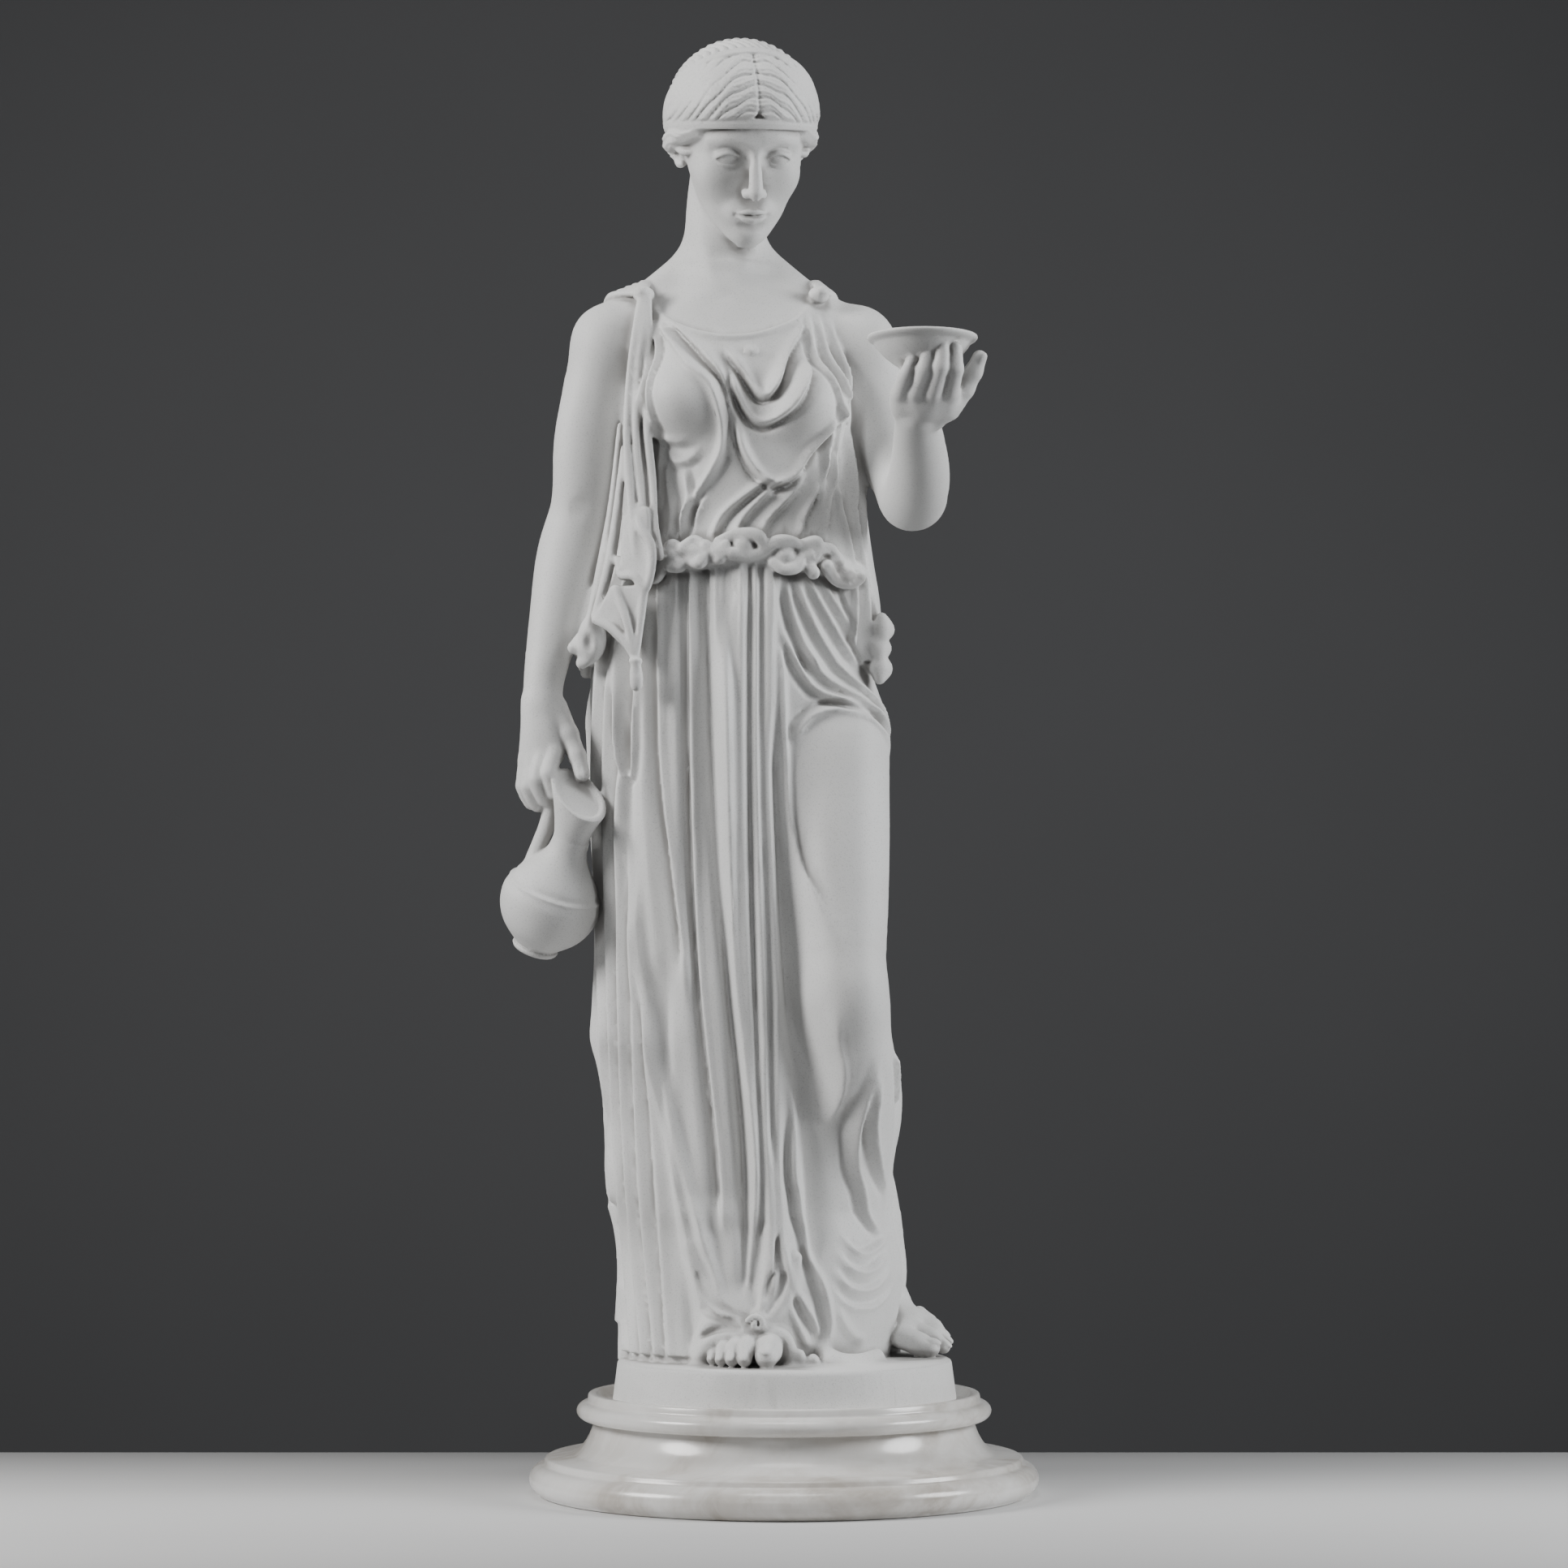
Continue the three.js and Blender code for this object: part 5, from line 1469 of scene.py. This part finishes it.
class Wire:
    """A shader value: a socket with arithmetic, or the way to any other node."""

    def __init__(self, tree, socket=None):
        self.tree, self.socket = tree, socket

    def node(self, kind, settings=None, sockets=None, output=0):
        """Adds a node: its settings first, then the values or wires of its sockets."""
        node = self.tree.nodes.new(kind)
        for name, value in (settings or {}).items():
            setattr(node, name, value)
        for key, value in (sockets or {}).items():
            if isinstance(value, Wire):
                self.tree.links.new(value.socket, node.inputs[key])
            else:
                node.inputs[key].default_value = value
        return Wire(self.tree, node.outputs[output])

    def maths(self, operation, *values):
        return self.node("ShaderNodeMath", {"operation": operation}, dict(enumerate(values)))

    def __add__(self, other):
        return self.maths("ADD", self, other)

    def __sub__(self, other):
        return self.maths("SUBTRACT", self, other)

    def __mul__(self, other):
        return self.maths("MULTIPLY", self, other)

    def __rsub__(self, other):
        return self.maths("SUBTRACT", other, self)

    __radd__, __rmul__ = __add__, __mul__

    def size(self):
        """The value without its sign."""
        return self.maths("ABSOLUTE", self)

    def over(self, low, high):
        """0 below one level and 1 above the other, smooth between."""
        return self.node("ShaderNodeMapRange", {"interpolation_type": "SMOOTHSTEP"},
                         {"Value": self, "From Min": low, "From Max": high})

    def blend(self, low, high):
        """A colour between two, by this value."""
        return self.node("ShaderNodeMix", {"data_type": "RGBA"}, {0: self, 6: low, 7: high}, output=2)


def colour(r, g, b):
    return (r, g, b, 1.0)


MARBLE, MARBLE_CLOUD = colour(0.865, 0.865, 0.858), colour(0.80, 0.80, 0.79)
# The second colour on the next line is painted shade for the figure's hollows.
MARBLE_SPECK, MARBLE_PAINTED_SHADE = colour(0.66, 0.66, 0.655), colour(0.36, 0.35, 0.34)
ALABASTER, ALABASTER_SMOKE = colour(0.82, 0.81, 0.79), colour(0.62, 0.585, 0.54)
ALABASTER_MILK, ALABASTER_VEIN = colour(0.90, 0.89, 0.875), colour(0.33, 0.28, 0.225)
STONE_IOR = 1.5


def new_finish(name):
    """A material with its shader, the start of its wires, and the place in space."""
    material = bpy.data.materials.new(name)
    material.use_nodes = True
    tree = material.node_tree
    shader = next(n for n in tree.nodes if n.type == "BSDF_PRINCIPLED")
    start = Wire(tree)
    place = start.node("ShaderNodeTexCoord", output=3)
    return material, shader, start, place


def noise(start, place, scale, detail, roughness=0.5, stretch=None, distortion=0.0):
    if stretch:
        place = start.node("ShaderNodeMapping", None, {"Vector": place, "Scale": stretch})
    return start.node("ShaderNodeTexNoise", None, {
        "Vector": place, "Scale": scale, "Detail": detail, "Roughness": roughness,
        "Distortion": distortion})


def connect(start, wire, socket):
    start.tree.links.new(wire.socket, socket)


def cast_marble():
    """Matt white cast marble: a fine grain without sparkle, with painted shade darkening the hollows."""
    material, shader, start, place = new_finish("cast_marble")
    grain = noise(start, place, 1500, 2.0, 0.7)
    cloud = noise(start, place, 18, 3.0)
    hollow = start.node("ShaderNodeAttribute", {"attribute_name": "hollow"}, output=2)
    tone = cloud.over(0.35, 0.7).blend(MARBLE_CLOUD, MARBLE)
    speck = grain.over(0.30, 0.46)
    fine = speck.blend(MARBLE_SPECK, tone)
    # painted shade: the colour turns towards dark grey where the surface lies deep in a hollow
    painted_shade = hollow.over(0.10, 0.62) * 0.8
    shaded_marble = painted_shade.blend(fine, MARBLE_PAINTED_SHADE)
    connect(start, shaded_marble, shader.inputs["Base Color"])
    connect(start, 0.50 + 0.12 * grain, shader.inputs["Roughness"])
    bump = start.node("ShaderNodeBump", None, {"Strength": 0.22, "Distance": 0.0003, "Height": grain})
    connect(start, bump, shader.inputs["Normal"])
    shader.inputs["IOR"].default_value = STONE_IOR
    return material


def veined_alabaster():
    """Polished alabaster with cloudy brown-grey veins."""
    material, shader, start, place = new_finish("veined_alabaster")
    drift = noise(start, place, 9, 5.0, 0.6, distortion=1.4)
    fine = noise(start, place, 38, 6.0, 0.65, stretch=(1.0, 1.0, 1.8), distortion=0.8)
    band = noise(start, place, 5.5, 7.0, 0.62, distortion=2.6)
    ridge = 1 - ((band - 0.5) * 9).size()
    vein = ridge.over(0.35, 1.0) * drift.over(0.46, 0.68)
    ground = drift.over(0.35, 0.68).blend(ALABASTER, ALABASTER_SMOKE)
    clouded = (fine.over(0.45, 0.72) * 0.55).blend(ground, ALABASTER_MILK)
    stone = (vein * 0.5).blend(clouded, ALABASTER_VEIN)
    connect(start, stone, shader.inputs["Base Color"])
    connect(start, 0.16 + 0.14 * fine, shader.inputs["Roughness"])
    shader.inputs["Coat Weight"].default_value = 0.35
    shader.inputs["Coat Roughness"].default_value = 0.12
    shader.inputs["IOR"].default_value = STONE_IOR
    return material


def plain_finish(name, shade, roughness):
    material, shader, start, place = new_finish(name)
    soft = noise(start, place, 3, 2.0)
    connect(start, soft.over(0.3, 0.7).blend(colour(*(0.97 * s for s in shade)), colour(*shade)),
            shader.inputs["Base Color"])
    shader.inputs["Roughness"].default_value = roughness
    return material


# ---- The piece ---------------------------------------------------------------------------------

BUST = ((-46, -26, 524), (8, -26, 521))    # middles of the breasts under the blouse


def sculpt():
    """The whole figure in clay."""
    space = ((-150, -140, SEAT - 4), (104, 88, 708))
    clay, under = Clay(*space, GRAIN), Clay(*space, GRAIN)
    free_leg(under)
    skirt().onto(clay, 2.0, 61, 452, under=under, soft=9.0)
    under.field[...] = FAR
    for centre in BUST:
        under.ball(centre, (20, 18, 19), blend=6)
    blouse().onto(clay, 1.0, 386, 590, hem=blouse_hem, collar=neckline, under=under, soft=10.0)
    body(clay)
    cloth_edge(clay)
    side_pleats(clay)
    side_falls(clay)
    waist_roll(clay)
    lowered_arm(clay)
    raised_arm(clay)
    plinth(clay)
    hem_details(clay)
    return Stone(clay, [head(), right_hand(), left_hand(), standing_foot(), trailing_foot()])


def slab(name, low, high):
    """A plain box between two corners, in millimetres."""
    points = [(x, y, z) for x in (low[0], high[0]) for y in (low[1], high[1]) for z in (low[2], high[2])]
    quads = [(0, 1, 3, 2), (4, 6, 7, 5), (0, 4, 5, 1), (2, 3, 7, 6), (0, 2, 6, 4), (1, 5, 7, 3)]
    return mesh_object(name, points, quads)


# Name, place and aim in metres, width in metres, power in watts, and tint.
LAMPS = [
    ("left", (-1.6, -0.62, 1.15), (0, 0, 0.38), 0.8, 36, (1.0, 0.99, 0.98)),
    ("right", (1.6, -0.35, 0.85), (0, 0, 0.38), 0.8, 27, (0.98, 0.99, 1.0)),
    ("top", (0.0, -0.35, 1.9), (0, 0, 0.35), 0.8, 8, (1.0, 1.0, 1.0)),
    ("front", (-0.4, -2.6, 1.3), (0, 0, 0.35), 1.0, 3.5, (1.0, 1.0, 1.0)),
]
LEDGE = ((-1200, -161, -60), (1200, 184, 0))
WALL = ((-4000, 2150, -2500), (4000, 2170, 3500))
CAMERA_PLACE, CAMERA_AIM = (0, -1.916, 0.217), (0, 0, 0.340)
FOCAL_LENGTH, SENSOR_WIDTH = 91.0, 36.0


def face_to(obj, place, aim):
    """Puts a lamp or the camera in the scene, turned to face its aim."""
    obj.location = place
    obj.rotation_euler = (Vector(aim) - Vector(place)).to_track_quat("-Z", "Y").to_euler()
    bpy.context.scene.collection.objects.link(obj)


def studio():
    """The pale ledge, the dark wall behind it, soft lights from both sides, and the camera."""
    floor = slab("floor", *LEDGE)
    floor.data.materials.append(plain_finish("pale_floor", (0.70, 0.70, 0.70), 0.6))
    wall = slab("backdrop", *WALL)
    wall.data.materials.append(plain_finish("grey_backdrop", (0.105, 0.106, 0.110), 0.9))
    for name, place, aim, size, power, tint in LAMPS:
        lamp = bpy.data.lights.new(name, "AREA")
        lamp.shape, lamp.size, lamp.energy, lamp.color = "DISK", size, power, tint
        obj = bpy.data.objects.new(name, lamp)
        face_to(obj, place, aim)
    world = bpy.data.worlds.new("studio")
    world.use_nodes = True
    sky = world.node_tree.nodes["Background"].inputs
    sky["Color"].default_value = colour(0.20, 0.205, 0.21)
    sky["Strength"].default_value = 0.25
    bpy.context.scene.world = world
    lens = bpy.data.cameras.new("camera")
    lens.lens, lens.sensor_width = FOCAL_LENGTH, SENSOR_WIDTH
    camera = bpy.data.objects.new("camera", lens)
    face_to(camera, CAMERA_PLACE, CAMERA_AIM)
    bpy.context.scene.camera = camera


figure = carve(sculpt())
figure.data.materials.append(cast_marble())
base = turned("turned_base", base_profile())
base.data.shade_smooth()
base.data.materials.append(veined_alabaster())
for piece, part, finish in ((figure, "figure", "marble"), (base, "base", "alabaster")):
    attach(piece, "root")
    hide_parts(part)
studio()
